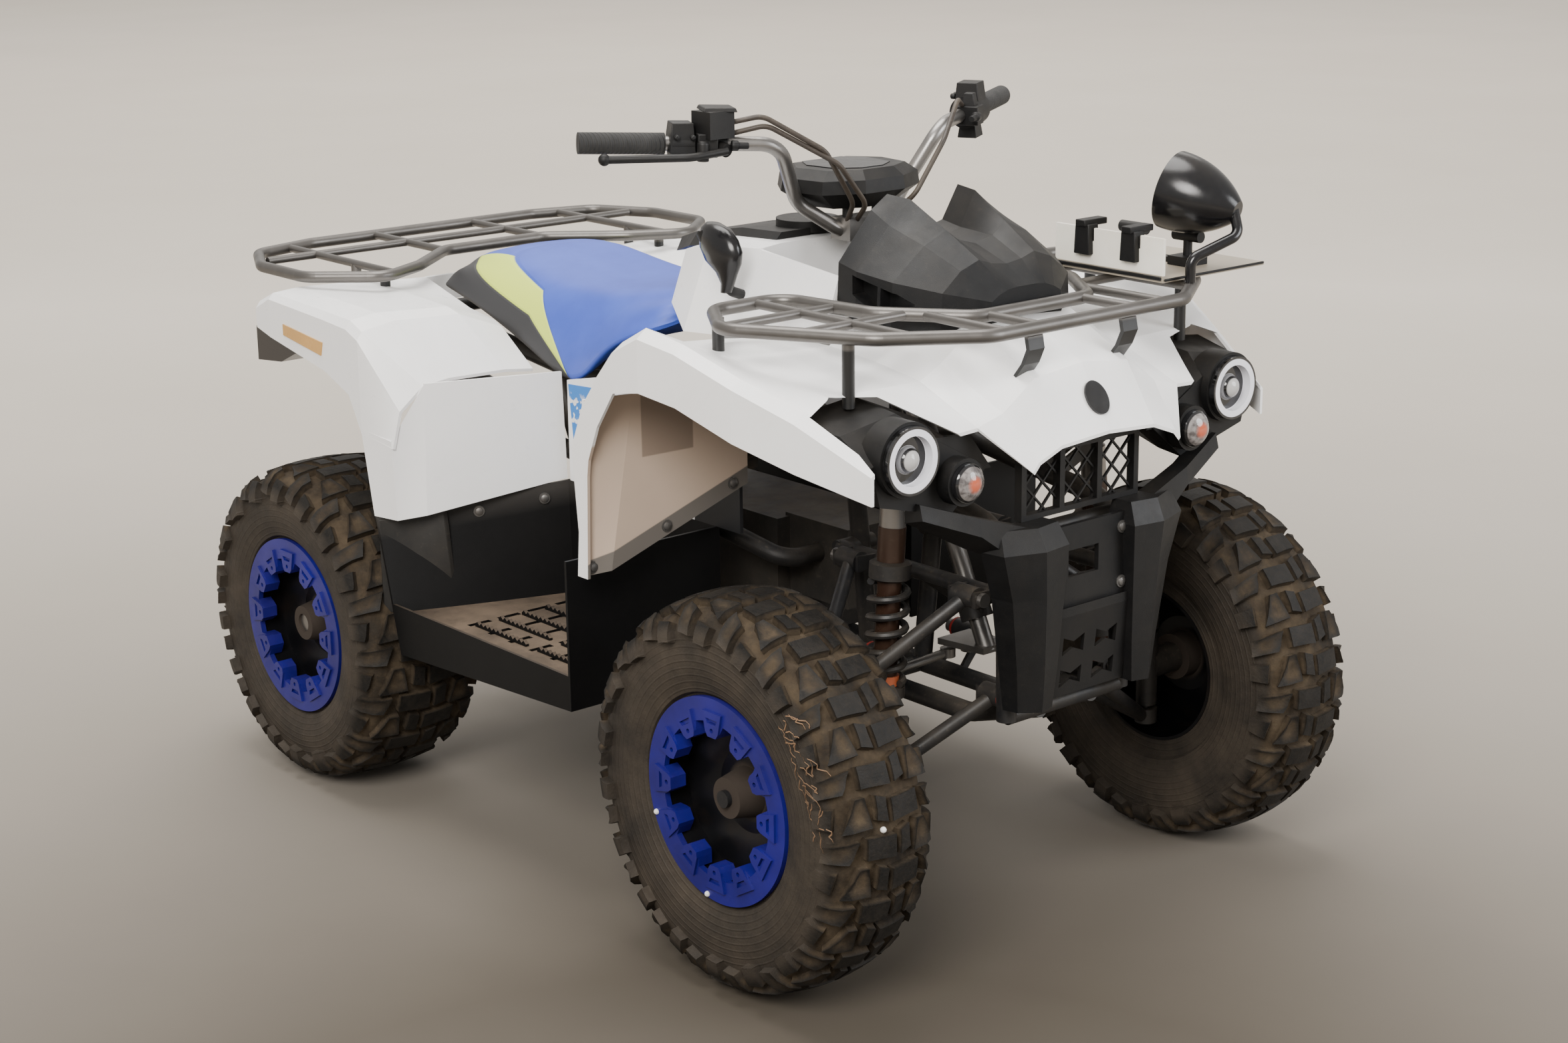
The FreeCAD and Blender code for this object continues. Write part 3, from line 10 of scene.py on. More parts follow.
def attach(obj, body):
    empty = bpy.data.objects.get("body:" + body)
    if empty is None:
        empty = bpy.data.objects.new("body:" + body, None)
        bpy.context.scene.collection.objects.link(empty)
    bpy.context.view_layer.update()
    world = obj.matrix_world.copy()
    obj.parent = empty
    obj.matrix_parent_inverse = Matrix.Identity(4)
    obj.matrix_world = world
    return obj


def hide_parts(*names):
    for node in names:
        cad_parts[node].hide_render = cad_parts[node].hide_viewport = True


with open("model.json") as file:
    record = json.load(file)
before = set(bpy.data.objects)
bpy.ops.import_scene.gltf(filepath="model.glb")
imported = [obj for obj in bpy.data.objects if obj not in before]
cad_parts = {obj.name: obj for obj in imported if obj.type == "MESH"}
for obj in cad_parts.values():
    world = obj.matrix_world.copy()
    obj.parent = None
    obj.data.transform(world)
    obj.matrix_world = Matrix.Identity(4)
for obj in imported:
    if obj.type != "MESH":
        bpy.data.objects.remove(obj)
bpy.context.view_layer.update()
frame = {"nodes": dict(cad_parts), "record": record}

# Quad bike, in metres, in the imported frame: +X forward, +Y left, +Z up.
NODES = frame["nodes"]

SIDES = (("left", 1), ("right", -1))
ENDS = ("front", "rear")
FORWARD = Vector((1, 0, 0))
LEFT = Vector((0, 1, 0))
UP = Vector((0, 0, 1))

# Linear colours
DUST = (0.30, 0.24, 0.17)
MUD = (0.075, 0.045, 0.02)
WHITE = (0.92, 0.915, 0.91)

# Places on the CAD model that colours and pieces follow
AXLES = {"front": Vector((0.623, 0, 0.292)), "rear": Vector((-0.537, 0, 0.2794))}
HEADLIGHT = (0.330, 0.790)  # distance from the middle and height
INDICATOR = (0.234, 0.744)
RACK_HEIGHTS = {"front_rack": 0.945, "rear_rack": 0.870}
SHOCK_TOP = Vector((0.648, 0.205, 0.715))
SHOCK_FOOT = Vector((0.648, 0.232, 0.335))
ARM_PIVOTS = ((0.150, 0.545), (0.092, 0.380))  # upper and lower arm, as (y, z)
ARM_ENDS = ((0.742, 1), (0.490, -1))  # x of a pivot's ends and the way out
BAR_END = Vector((0.216, 0.428, 1.173))
BAR_BEND = Vector((0.352, 0.165, 1.160))
GRIP_INNER = 0.130
FLAP_SCREWS = ((0.290, 0.485, 0.556), (0.3085, 0.360, 0.600), (0.3125, 0.234, 0.645))
FLOOR_TOP = 0.360


# Camera, floor and light


def add_camera():
    """The photograph's view: 60 mm on a 36 mm wide frame, a little above the bars."""
    right = Vector((0.64516, 0.76395, -0.01216))
    up = Vector((-0.19752, 0.18214, 0.96323))
    forward = Vector((-0.73807, 0.61904, -0.26841))
    data = bpy.data.cameras.new("camera")
    data.sensor_width = 36.0
    data.lens = 59.99
    camera = bpy.data.objects.new("camera", data)
    turn = Matrix((right, up, -forward)).transposed().to_4x4()
    camera.matrix_world = Matrix.Translation(Vector((3.328, -2.662, 1.661))) @ turn
    bpy.context.scene.collection.objects.link(camera)
    bpy.context.scene.camera = camera


def add_floor():
    size = 40.0
    mesh = bpy.data.meshes.new("floor")
    corners = [(-size, -size, 0), (size, -size, 0), (size, size, 0), (-size, size, 0)]
    mesh.from_pydata(corners, [], [(0, 1, 2, 3)])
    floor = bpy.data.objects.new("floor", mesh)
    bpy.context.scene.collection.objects.link(floor)
    mesh.materials.append(floor_skin())


def add_light(name, place, target, size, power, colour):
    data = bpy.data.lights.new(name, "AREA")
    data.shape = "DISK"
    data.size = size
    data.energy = power
    data.color = colour
    lamp = bpy.data.objects.new(name, data)
    lamp.location = place
    lamp.rotation_euler = (Vector(target) - Vector(place)).to_track_quat("-Z", "Y").to_euler()
    bpy.context.scene.collection.objects.link(lamp)


def add_lights():
    centre = (0.0, 0.0, 0.5)
    add_light("key", (3.5, -4.5, 4.2), centre, 3.0, 470, (1.0, 0.97, 0.93))
    add_light("fill", (4.8, 2.5, 2.6), centre, 3.0, 190, (0.95, 0.97, 1.0))
    add_light("top", (-0.5, 0.0, 4.8), centre, 3.5, 250, (1.0, 0.98, 0.95))
    add_light("backdrop", (-9.0, 7.5, 8.0), (-10.0, 8.3, 0.0), 12.0, 620, (1.0, 0.95, 0.89))
    world = bpy.data.worlds.new("studio")
    world.use_nodes = True
    background = world.node_tree.nodes["Background"]
    background.inputs["Color"].default_value = (0.87, 0.84, 0.80, 1)
    background.inputs["Strength"].default_value = 0.85
    bpy.context.scene.world = world


# Materials


class Shader:
    """A material's node tree, with short ways to add and join nodes.

    Wherever a value or colour goes, another node's output can go too."""

    def __init__(self, name):
        self.material = bpy.data.materials.new(name)
        self.material.use_nodes = True
        self.tree = self.material.node_tree
        self.bsdf = self.tree.nodes["Principled BSDF"]
        self.place = self.tree.nodes.new("ShaderNodeTexCoord").outputs["Object"]

    def feed(self, target, value):
        if isinstance(value, bpy.types.NodeSocket):
            self.tree.links.new(value, target)
        elif isinstance(value, tuple):
            target.default_value = (*value, 1)
        else:
            target.default_value = value

    def node(self, kind, inputs=(), **values):
        made = self.tree.nodes.new(kind)
        for key, value in values.items():
            setattr(made, key, value)
        for key, value in dict(inputs).items():
            self.feed(made.inputs[key], value)
        return made

    def surface(self, **values):
        """Feeds the surface's inputs, named with _ for a space; returns the material."""
        for key, value in values.items():
            self.feed(self.bsdf.inputs[key.replace("_", " ")], value)
        return self.material

    def math(self, kind, *values):
        return self.node("ShaderNodeMath", enumerate(values), operation=kind).outputs[0]

    def plus(self, first, second):
        return self.math("ADD", first, second)

    def minus(self, first, second):
        return self.math("SUBTRACT", first, second)

    def times(self, first, *others):
        for other in others:
            first = self.math("MULTIPLY", first, other)
        return first

    def distance(self, first, second):
        """Length of a way whose two parts are at right angles."""
        squares = self.plus(self.times(first, first), self.times(second, second))
        return self.math("SQRT", squares)

    def ramp(self, source, low, high, start=0.0, end=1.0):
        """The source's span from low to high, laid over start to end."""
        made = self.node("ShaderNodeMapRange", {"Value": source, "From Min": low,
                                                "From Max": high, "To Min": start,
                                                "To Max": end})
        return made.outputs["Result"]

    def noise(self, scale, detail=4.0, rough=0.6):
        made = self.node("ShaderNodeTexNoise", {"Vector": self.place, "Scale": scale,
                                                "Detail": detail, "Roughness": rough})
        return made.outputs["Fac"]

    def patches(self, scale, low, high, detail=4.0, rough=0.6, start=0.0, end=1.0):
        """Noise, with what lies between low and high laid over start to end."""
        return self.ramp(self.noise(scale, detail, rough), low, high, start, end)

    def blend(self, share, first, second):
        """Colours first and second, mixed by share."""
        made = self.node("ShaderNodeMix", {0: share, 6: first, 7: second}, data_type="RGBA")
        return made.outputs[2]

    def axis(self, name, source=None):
        return self.node("ShaderNodeSeparateXYZ", {0: source or self.place}).outputs[name]

    def away(self):
        """Distance from the model's middle plane."""
        return self.math("ABSOLUTE", self.axis("Y"))

    def facing(self, name):
        """How far the surface faces along an axis, from -1 to 1."""
        return self.axis(name, self.node("ShaderNodeNewGeometry").outputs["Normal"])

    def bump(self, height, strength, distance, under=None):
        made = self.node("ShaderNodeBump", {"Strength": strength, "Distance": distance,
                                            "Height": height})
        if under is not None:
            self.feed(made.inputs["Normal"], under)
        return made.outputs["Normal"]

    def grain(self, scale, strength, under=None):
        """The fine relief of a moulded or painted surface."""
        return self.bump(self.noise(scale, 2.0), strength, 0.0004, under)


def finish(name, colour, rough, metallic=0.0, grain=900.0, relief=0.15, dust=0.25,
           dust_colour=DUST, mottle=0.12, coat=0.0, shine=0.5):
    """A worn surface: mottled colour, fine grain and dust that gathers on what faces up."""
    shader = Shader(name)
    shade = tuple(c * (1 - mottle) for c in colour)
    base = shader.blend(shader.patches(9.0, 0.35, 0.65), colour, shade)
    cloud = shader.patches(5.0, 0.42, 0.72, 8.0, 0.7)
    speck = shader.patches(140.0, 0.6, 0.7, 3.0, end=0.5)
    upward = shader.ramp(shader.facing("Z"), -0.2, 0.9, 0.35, 1.0)
    amount = shader.times(shader.plus(cloud, speck), upward, dust)
    gloss = shader.patches(30.0, 0.3, 0.7, start=rough - 0.06, end=rough + 0.06)
    return shader.surface(
        Base_Color=shader.blend(amount, base, dust_colour),
        Roughness=shader.plus(gloss, shader.times(amount, 0.5)),
        Normal=shader.grain(grain, relief),
        Metallic=metallic, Coat_Weight=coat, Specular_IOR_Level=shine)


FINISHES = {
    "white_plastic": dict(colour=WHITE, rough=0.32, dust=0.08, mottle=0.02, grain=500.0,
                          relief=0.05),
    "black_plastic": dict(colour=(0.005, 0.0052, 0.0058), rough=0.5, dust=0.05, relief=0.4,
                          shine=0.32),
    "gloss_black": dict(colour=(0.005, 0.005, 0.006), rough=0.2, dust=0.04),
    "frame_black": dict(colour=(0.014, 0.014, 0.015), rough=0.45, dust=0.26, shine=0.4),
    "rack_grey": dict(colour=(0.13, 0.122, 0.115), rough=0.38, metallic=0.75, dust=0.10),
    "bar_steel": dict(colour=(0.27, 0.26, 0.25), rough=0.34, metallic=0.9, dust=0.30),
    "engine_alloy": dict(colour=(0.05, 0.047, 0.044), rough=0.5, metallic=0.6, dust=0.4),
    "exhaust_black": dict(colour=(0.02, 0.019, 0.019), rough=0.5, metallic=0.4, dust=0.3),
    "shock_steel": dict(colour=(0.05, 0.05, 0.052), rough=0.35, metallic=0.5, dust=0.3),
    "grip_rubber": dict(colour=(0.02, 0.02, 0.02), rough=0.7, dust=0.08),
    "rim_black": dict(colour=(0.005, 0.005, 0.005), rough=0.3, dust=0.15, shine=0.35),
    "ring_blue": dict(colour=(0.012, 0.009, 0.19), rough=0.38, dust=0.05, mottle=0.35,
                      shine=0.4),
    "cream_paint": dict(colour=(0.90, 0.86, 0.76), rough=0.4, dust=0.12),
    "tyre_rubber": dict(colour=(0.028, 0.024, 0.02), rough=0.75, dust=0.8, dust_colour=MUD),
    "seat_cover": dict(colour=(0.03, 0.06, 0.55), rough=0.5, dust=0.06),
    "lamp_lens": dict(colour=(0.5, 0.5, 0.52), rough=0.1, dust=0.05),
    "tail_lens": dict(colour=(0.006, 0.003, 0.003), rough=0.15, dust=0.01),
}
MATERIALS = {name: finish(name, **look) for name, look in FINISHES.items()}


# Colours that follow a place on the model


def floor_skin():
    """Floor painted darker near the model as painted shade, and light where it becomes the
    backdrop.
    """
    shader = Shader("studio_floor")
    cloud = shader.patches(0.8, 0.3, 0.7, 6.0)
    # painted shade: the near floor's dark tone stands for the shade around and under the model
    near = shader.blend(cloud, (0.064, 0.052, 0.038), (0.080, 0.066, 0.049))
    far = shader.blend(cloud, (0.84, 0.77, 0.675), (0.88, 0.81, 0.715))
    reach = shader.distance(shader.minus(shader.axis("X"), 1.3),
                            shader.plus(shader.axis("Y"), 1.0))
    return shader.surface(Base_Color=shader.blend(shader.ramp(reach, 0.9, 6.6), near, far),
                          Roughness=0.75)


def front_skin():
    """White plastic; the flaps behind the wheels are dusty, with painted shade as a dark patch
    where a panel sinks and as a grey band below a fold.
    """
    shader = Shader("front_skin")
    away, rise = shader.away(), shader.axis("Z")
    flap = shader.times(shader.ramp(shader.axis("X"), 0.318, 0.3155),
                        shader.ramp(shader.facing("X"), 0.55, 0.7))
    cloud = shader.patches(7.0, 0.25, 0.75, 8.0, 0.7, 0.75, 1.0)
    flap_dust_and_shade = shader.blend(cloud, (0.42, 0.32, 0.24), (0.54, 0.42, 0.33))
    # painted shade: a darker patch where the flap's panel is sunk in
    patch = shader.times(shader.ramp(away, 0.402, 0.400), shader.ramp(away, 0.306, 0.308),
                         shader.ramp(rise, 0.712, 0.714))
    flap_dust_and_shade = shader.blend(patch, flap_dust_and_shade, (0.29, 0.22, 0.17))
    # painted shade: a grey band below a fold line on the flap's lower part
    fold_shade_line = shader.plus(shader.times(away, -0.354), 0.739)
    low = shader.ramp(shader.minus(rise, fold_shade_line), 0.002, 0.0)
    flap_dust_and_shade = shader.blend(low, flap_dust_and_shade, (0.14, 0.125, 0.11))
    film = shader.times(shader.patches(4.0, 0.45, 0.75, 8.0, 0.7), 0.10)
    return shader.surface(
        Base_Color=shader.blend(flap, shader.blend(film, WHITE, DUST), flap_dust_and_shade),
        Roughness=shader.ramp(flap, 0.0, 1.0, 0.33, 0.8),
        Normal=shader.grain(500.0, 0.05))


def side_skin():
    """White plastic, black low down at the front where the engine bay begins."""
    shader = Shader("side_skin")
    bay = shader.times(shader.ramp(shader.axis("X"), 0.185, 0.187),
                       shader.ramp(shader.axis("Z"), 0.702, 0.700))
    return shader.surface(Base_Color=shader.blend(bay, WHITE, (0.005, 0.005, 0.006)),
                          Roughness=shader.ramp(bay, 0.0, 1.0, 0.33, 0.55))


def plate_skin():
    """Cream paint on the upright flange; the flat tray is painted darker as painted shade."""
    shader = Shader("plate_skin")
    # painted shade: the flat tray is a darker copy of the cream
    tray_shade = shader.ramp(shader.axis("Z"), 0.9660, 0.9655)
    flange = shader.blend(shader.patches(14.0, 0.35, 0.7, 6.0), (0.92, 0.885, 0.79),
                          (0.84, 0.79, 0.68))
    return shader.surface(Base_Color=shader.blend(tray_shade, flange, (0.34, 0.295, 0.23)),
                          Roughness=0.4)


def rack_skin(name, height):
    """Grey tubes on black legs, which begin a little under the rack's plane."""
    shader = Shader(name)
    leg = shader.ramp(shader.axis("Z"), height - 0.016, height - 0.020)
    tube = shader.blend(shader.patches(9.0, 0.35, 0.65), (0.14, 0.131, 0.123),
                        (0.115, 0.108, 0.10))
    return shader.surface(Base_Color=shader.blend(leg, tube, (0.009, 0.009, 0.009)),
                          Metallic=shader.ramp(leg, 0.0, 1.0, 0.75, 0.0),
                          Roughness=shader.patches(30.0, 0.3, 0.7, start=0.33, end=0.45))


def lamp_radius(shader, centre):
    """Distance in the YZ plane from the centre of the lamp on each side."""
    return shader.distance(shader.minus(shader.away(), centre[0]),
                           shader.minus(shader.axis("Z"), centre[1]))


def headlight_skin():
    """A white light ring round a dark bowl, with a painted highlight for its bright projector
    lens.
    """
    shader = Shader("headlight")
    far = lamp_radius(shader, HEADLIGHT)
    ring = shader.times(shader.ramp(far, 0.0340, 0.0346), shader.ramp(far, 0.0446, 0.0440))
    # painted highlight: the projector lens is a bright flat colour
    lens = shader.ramp(far, 0.0150, 0.0135)
    rim = shader.times(shader.ramp(far, 0.0170, 0.0176), shader.ramp(far, 0.0206, 0.0200))
    bowl = shader.blend(shader.patches(60.0, 0.4, 0.6), (0.004, 0.004, 0.004),
                        (0.02, 0.02, 0.022))
    inner = shader.blend(lens, bowl, (0.46, 0.45, 0.44))
    inner = shader.blend(rim, inner, (0.30, 0.30, 0.31))
    return shader.surface(Base_Color=shader.blend(ring, inner, (0.84, 0.84, 0.90)),
                          Roughness=shader.ramp(ring, 0.0, 1.0, 0.05, 0.25),
                          Coat_Weight=0.3)


def indicator_skin():
    """A clear lens with the amber bulb behind its middle and a black edge."""
    shader = Shader("indicator")
    far = lamp_radius(shader, INDICATOR)
    clear = shader.blend(shader.patches(90.0, 0.4, 0.6), (0.09, 0.08, 0.078),
                         (0.27, 0.25, 0.24))
    lens = shader.blend(shader.ramp(far, 0.014, 0.007), clear, (0.50, 0.10, 0.045))
    edge = shader.ramp(far, 0.0238, 0.0246)
    return shader.surface(Base_Color=shader.blend(edge, lens, (0.01, 0.01, 0.011)),
                          Roughness=0.08, Coat_Weight=0.5)


def seat_skin():
    """Blue vinyl with a lime band and a dark lower band, split along stitched lines."""
    shader = Shader("seat_vinyl")
    east, rise = shader.axis("X"), shader.axis("Z")

    def line(x, z, slope):
        return shader.plus(shader.times(shader.minus(east, x), slope), z)

    upper = shader.math("MINIMUM", line(-0.17, 0.735, -0.885), line(-0.30, 0.850, -0.25))
    lower = shader.math("MINIMUM", line(-0.20, 0.752, -0.60), line(-0.30, 0.812, -0.25))
    over = shader.minus(rise, upper)
    under = shader.minus(rise, lower)
    lime = shader.times(shader.ramp(over, 0.0006, -0.0006),
                        shader.ramp(shader.away(), 0.104, 0.106))
    dark = shader.ramp(under, 0.0006, -0.0006)
    blue = shader.blend(shader.patches(12.0, 0.3, 0.7, 6.0), (0.035, 0.075, 0.42),
                        (0.05, 0.10, 0.50))
    tone = shader.blend(lime, blue, (0.58, 0.70, 0.10))
    seam = shader.math("MINIMUM", shader.math("ABSOLUTE", over),
                       shader.math("ABSOLUTE", under))
    groove = shader.bump(shader.ramp(seam, 0.0, 0.003), 0.7, 0.0015)
    return shader.surface(Base_Color=shader.blend(dark, tone, (0.03, 0.03, 0.032)),
                          Roughness=0.48, Normal=shader.grain(700.0, 0.25, groove))


def decal_skin():
    """Bright blue film, broken by white flecks across its upper middle."""
    shader = Shader("decal")
    rise = shader.axis("Z")
    share = shader.times(shader.patches(70.0, 0.54, 0.56, 3.0, 0.5),
                         shader.ramp(rise, 0.648, 0.660), shader.ramp(rise, 0.712, 0.696))
    return shader.surface(
        Base_Color=shader.blend(share, (0.015, 0.20, 0.62), (0.86, 0.86, 0.86)),
        Roughness=0.3)


def footwell_skin(name):
    """Black plastic darkened as painted shade, brown with dust on the floor, and painted light
    as grey along the rear wall's top.
    """
    shader = Shader(name)
    rise = shader.axis("Z")
    floor = shader.times(shader.ramp(rise, FLOOR_TOP + 0.020, FLOOR_TOP + 0.006),
                         shader.patches(9.0, 0.35, 0.65, 8.0, 0.7, 0.35, 1.0),
                         shader.ramp(shader.facing("Z"), 0.3, 0.9))
    # painted light: the rear wall's top is painted a lighter grey where it catches the light
    painted_light_band = shader.ramp(shader.plus(rise, shader.times(shader.axis("X"), -0.25)),
                       0.550, 0.585, 0.0, 0.20)
    film = shader.times(shader.patches(4.0, 0.4, 0.8, 8.0, 0.7), 0.02)
    # painted shade: this black is darker than the plastic's own colour
    black = shader.blend(shader.plus(film, painted_light_band), (0.0025, 0.0025, 0.0028),
                         (0.16, 0.145, 0.13))
    return shader.surface(Base_Color=shader.blend(floor, black, (0.115, 0.085, 0.060)),
                          Roughness=shader.ramp(floor, 0.0, 1.0, 0.55, 0.9),
                          Specular_IOR_Level=0.22, Normal=shader.grain(900.0, 0.4))


def grip_skin():
    """Rubber with fine rings round the grip."""
    shader = Shader("grip_rings")
    tone = shader.blend(shader.patches(30.0, 0.3, 0.7), (0.012, 0.012, 0.012),
                        (0.030, 0.029, 0.028))
    waves = shader.math("SINE", shader.times(shader.axis("Y"), 1100.0))
    return shader.surface(Base_Color=tone, Roughness=0.75,
                          Normal=shader.bump(waves, 0.8, 0.0012))


def wheel_radius(shader, axle):
    """Distance from an axle, seen from the side."""
    return shader.distance(shader.minus(shader.axis("X"), axle.x),
                           shader.minus(shader.axis("Z"), axle.z))


def rim_skin(name, axle):
    """Black paint, with brown dust on the hub and a thin film elsewhere."""
    shader = Shader(name)
    hub = shader.ramp(wheel_radius(shader, axle), 0.046, 0.038)
    film = shader.times(shader.patches(20.0, 0.5, 0.8, 6.0), 0.12)
    black = shader.blend(film, (0.004, 0.004, 0.005), MUD)
    return shader.surface(Base_Color=shader.blend(hub, black, (0.040, 0.030, 0.023)),
                          Roughness=shader.ramp(hub, 0.0, 1.0, 0.3, 0.85),
                          Specular_IOR_Level=0.35)


def tyre_skin(name, axle, radius):
    """Rubber worn dark on the blocks' tops, with brown mud between and dust below."""
    shader = Shader(name)
    out = wheel_radius(shader, axle)
    worn = shader.node("ShaderNodeAttribute", attribute_name="rise").outputs["Fac"]
    cloud = shader.patches(14.0, 0.38, 0.62, 8.0, 0.7)
    speck = shader.patches(150.0, 0.42, 0.68, 3.0)
    tread = shader.ramp(out, radius - 0.045, radius - 0.030)
    amount = shader.times(shader.ramp(worn, 1.0, 0.55), shader.plus(cloud, 0.35), tread)
    amount = shader.plus(amount, shader.times(speck, 0.12))
    rubber = shader.blend(shader.patches(40.0, 0.3, 0.7), (0.004, 0.0038, 0.0035),
                          (0.014, 0.012, 0.010))
    mud = shader.blend(shader.patches(26.0, 0.3, 0.7, 6.0), (0.026, 0.019, 0.0125),
                       (0.082, 0.060, 0.037))
    wall = shader.blend(shader.patches(9.0, 0.3, 0.7, 8.0, 0.7), (0.019, 0.0165, 0.0142),
                        (0.058, 0.046, 0.034))
    rough = shader.bump(shader.noise(260.0, 5.0), 0.5, 0.0012)
    crust = shader.bump(shader.noise(45.0, 6.0), 0.5, 0.003, rough)
    waves = shader.math("SINE", shader.times(out, 620.0))
    ribs = shader.times(shader.ramp(waves, 0.5, 1.0),
                        shader.ramp(out, radius - 0.050, radius - 0.054))
    return shader.surface(
        Base_Color=shader.blend(tread, wall, shader.blend(amount, rubber, mud)),
        Roughness=shader.ramp(amount, 0.0, 1.0, 0.62, 0.95),
        Specular_IOR_Level=0.25, Normal=shader.bump(ribs, 0.5, 0.0012, crust))


# The CAD nodes' paint and edges


def smooth(obj, angle):
    """Rounds the shading over gentle edges and keeps it sharp over hard ones."""
    for face in obj.data.polygons:
        face.use_smooth = True
    obj.data.set_sharp_from_angle(angle=math.radians(angle))


def bevel(obj, width, angle):
    made = obj.modifiers.new("edges", "BEVEL")
    made.width = width
    made.segments = 2
    made.limit_method = "ANGLE"
    made.angle_limit = math.radians(angle)


SOFT_EDGES = {
    "front_body": 0.0022, "rear_body": 0.0022, "tank_cover": 0.006, "side_panels": 0.002,
    "dash_cowl": 0.007, "bumper": 0.006, "lamp_housings": 0.005, "instrument_pod": 0.007,
    "tank_top": 0.004, "gear_lever": 0.002, "plate_clamps": 0.002, "tail_lamps": 0.004,
    "accessory_plate": 0.0015, "right_control": 0.003, "engine": 0.006, "fuel_cap": 0.003,
}
for side_name, _ in SIDES:
    SOFT_EDGES[f"footwell_{side_name}"] = 0.0018
    for end in ENDS:
        SOFT_EDGES[f"{end}_wheel_ring_{side_name}"] = 0.0012


def soften_nodes():
    """Rounds the hard edges of CAD nodes, with their flat faces kept flat."""
    for name, width in SOFT_EDGES.items():
        bevel(NODES[name], width, 28.0)
        NODES[name].modifiers.new("flat", "WEIGHTED_NORMAL").keep_sharp = True


def paint(name, material):
    NODES[name].data.materials.clear()
    NODES[name].data.materials.append(material)


def paint_nodes():
    slots = {part["node"]: part["material_slot"] for part in frame["record"]["subparts"]}
    for name, obj in NODES.items():
        paint(name, MATERIALS[slots[name]])
        smooth(obj, 35.0)
    for name, material in (("front_body", front_skin()), ("side_panels", side_skin()),
                           ("accessory_plate", plate_skin()), ("headlights", headlight_skin()),
                           ("front_indicators", indicator_skin()), ("grips", grip_skin())):
        paint(name, material)
    for name, height in RACK_HEIGHTS.items():
        paint(name, rack_skin(name, height))
    paint("cables", finish("cable_jacket", (0.030, 0.022, 0.016), 0.5, dust=0.35))
    for side_name, _ in SIDES:
        paint(f"footwell_{side_name}", footwell_skin(f"footwell_{side_name}"))
        for end in ENDS:
            paint(f"{end}_rim_{side_name}", rim_skin(f"rim_{end}_{side_name}", AXLES[end]))


# Mesh helpers


def mirrored(point, side):
    return Vector((point.x, side * point.y, point.z))


def turns(count):
    """Angles that split a full turn evenly."""
    return [2 * math.pi * index / count for index in range(count)]


def tube_rings(mesh, rings):
    """Joins rings of vertices into a closed, capped skin."""
    made = [[mesh.verts.new(point) for point in ring] for ring in rings]
    for ring, after in zip(made, made[1:]):
        count = len(ring)
        for index in range(count):
            nxt = (index + 1) % count
            mesh.faces.new([ring[index], ring[nxt], after[nxt], after[index]])
    mesh.faces.new(made[0])
    mesh.faces.new(list(reversed(made[-1])))


def frame_of(way):
    """A way at unit length, and two directions across it."""
    way = way.normalized()
    first = way.orthogonal().normalized()
    return way, first, way.cross(first)


def add_turned(mesh, start, way, outline, sides=24):
    """A turned body: outline lists (distance along, radius)."""
    way, first, second = frame_of(way)
    rings = []
    for along, radius in outline:
        rings.append([start + way * along
                      + (first * math.cos(turn) + second * math.sin(turn)) * radius
                      for turn in turns(sides)])
    tube_rings(mesh, rings)


def add_coil(mesh, start, way, radius, wire, windings, pitch):
    """A spring: a wire wound round an axis."""
    steps = 22
    way, first, second = frame_of(way)
    rings = []
    for step in range(int(windings * steps) + 1):
        turn = 2 * math.pi * step / steps
        out = first * math.cos(turn) + second * math.sin(turn)
        centre = start + way * (pitch * turn / (2 * math.pi)) + out * radius
        rings.append([centre + out * wire * math.cos(a) + way * wire * math.sin(a)
                      for a in turns(8)])
    tube_rings(mesh, rings)


def add_plate(mesh, corners, along):
    """A thin flat plate: a polygon pushed along a way."""
    tube_rings(mesh, [corners, [corner + along for corner in corners]])


def add_side_plates(mesh, outline, y, thickness):
    """An upright plate on each side, from its (x, z) corners."""
    for side in (1, -1):
        corners = [Vector((x, side * y, z)) for x, z in outline]
        add_plate(mesh, corners, LEFT * (side * thickness))


def add_block(mesh, centre, ways, sizes, top_scale=1.0):
    """A box along three ways, with its far end along the third scaled."""
    along, across, up = ways
    corners = []
    for level, scale in ((-0.5, 1.0), (0.5, top_scale)):
        for i, j in ((-0.5, -0.5), (0.5, -0.5), (0.5, 0.5), (-0.5, 0.5)):
            corners.append(centre + along * (i * sizes[0] * scale)
                           + across * (j * sizes[1] * scale) + up * (level * sizes[2]))
    tube_rings(mesh, [corners[:4], corners[4:]])


def add_screw(mesh, place, way):
    """A domed screw head with its washer."""
    add_turned(mesh, place - way * 0.002, way,
               [(0.0, 0.00945), (0.0035, 0.00945), (0.0036, 0.007), (0.0055, 0.00644),
                (0.007, 0.0035)], 14)


def mesh_from(build, name):
    mesh = bmesh.new()
    build(mesh)
    bmesh.ops.recalc_face_normals(mesh, faces=mesh.faces)
    data = bpy.data.meshes.new(name)
    mesh.to_mesh(data)
    mesh.free()
    return data


def new_piece(name, data, body, slot, material=None, rounding=None):
    obj = bpy.data.objects.new(name, data)
    bpy.context.scene.collection.objects.link(obj)
    obj.data.materials.append(material or MATERIALS[slot])
    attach(obj, body)
    if rounding:
        smooth(obj, rounding)
    return obj


def add_piece(name, build, body, slot, material=None, rounding=None, edges=None):
    """A piece from a function that fills its mesh, with edges as its bevel's width."""
    piece = new_piece(name, mesh_from(build, name), body, slot, material, rounding)
    if edges:
        bevel(piece, edges, 30.0)
    return piece


# Tyres


TYRES = {
    "front": {"y": 0.448, "radius": 0.292, "width": 0.174},
    "rear": {"y": 0.432, "radius": 0.2794, "width": 0.226},
}
BEAD_RADIUS = 0.128
RING_RADIUS = 0.153
PITCHES = 18
LUG_HEIGHT = 0.013
LUG_TAPER = 0.0018
LUG_SINK = 0.002
CARCASS_STEPS = 120
SHOULDER_POINT = 16  # the last point of the shoulder in the profile
TREAD_RUN = 0.110  # the run from crown to shoulder that tread_blocks is drawn for


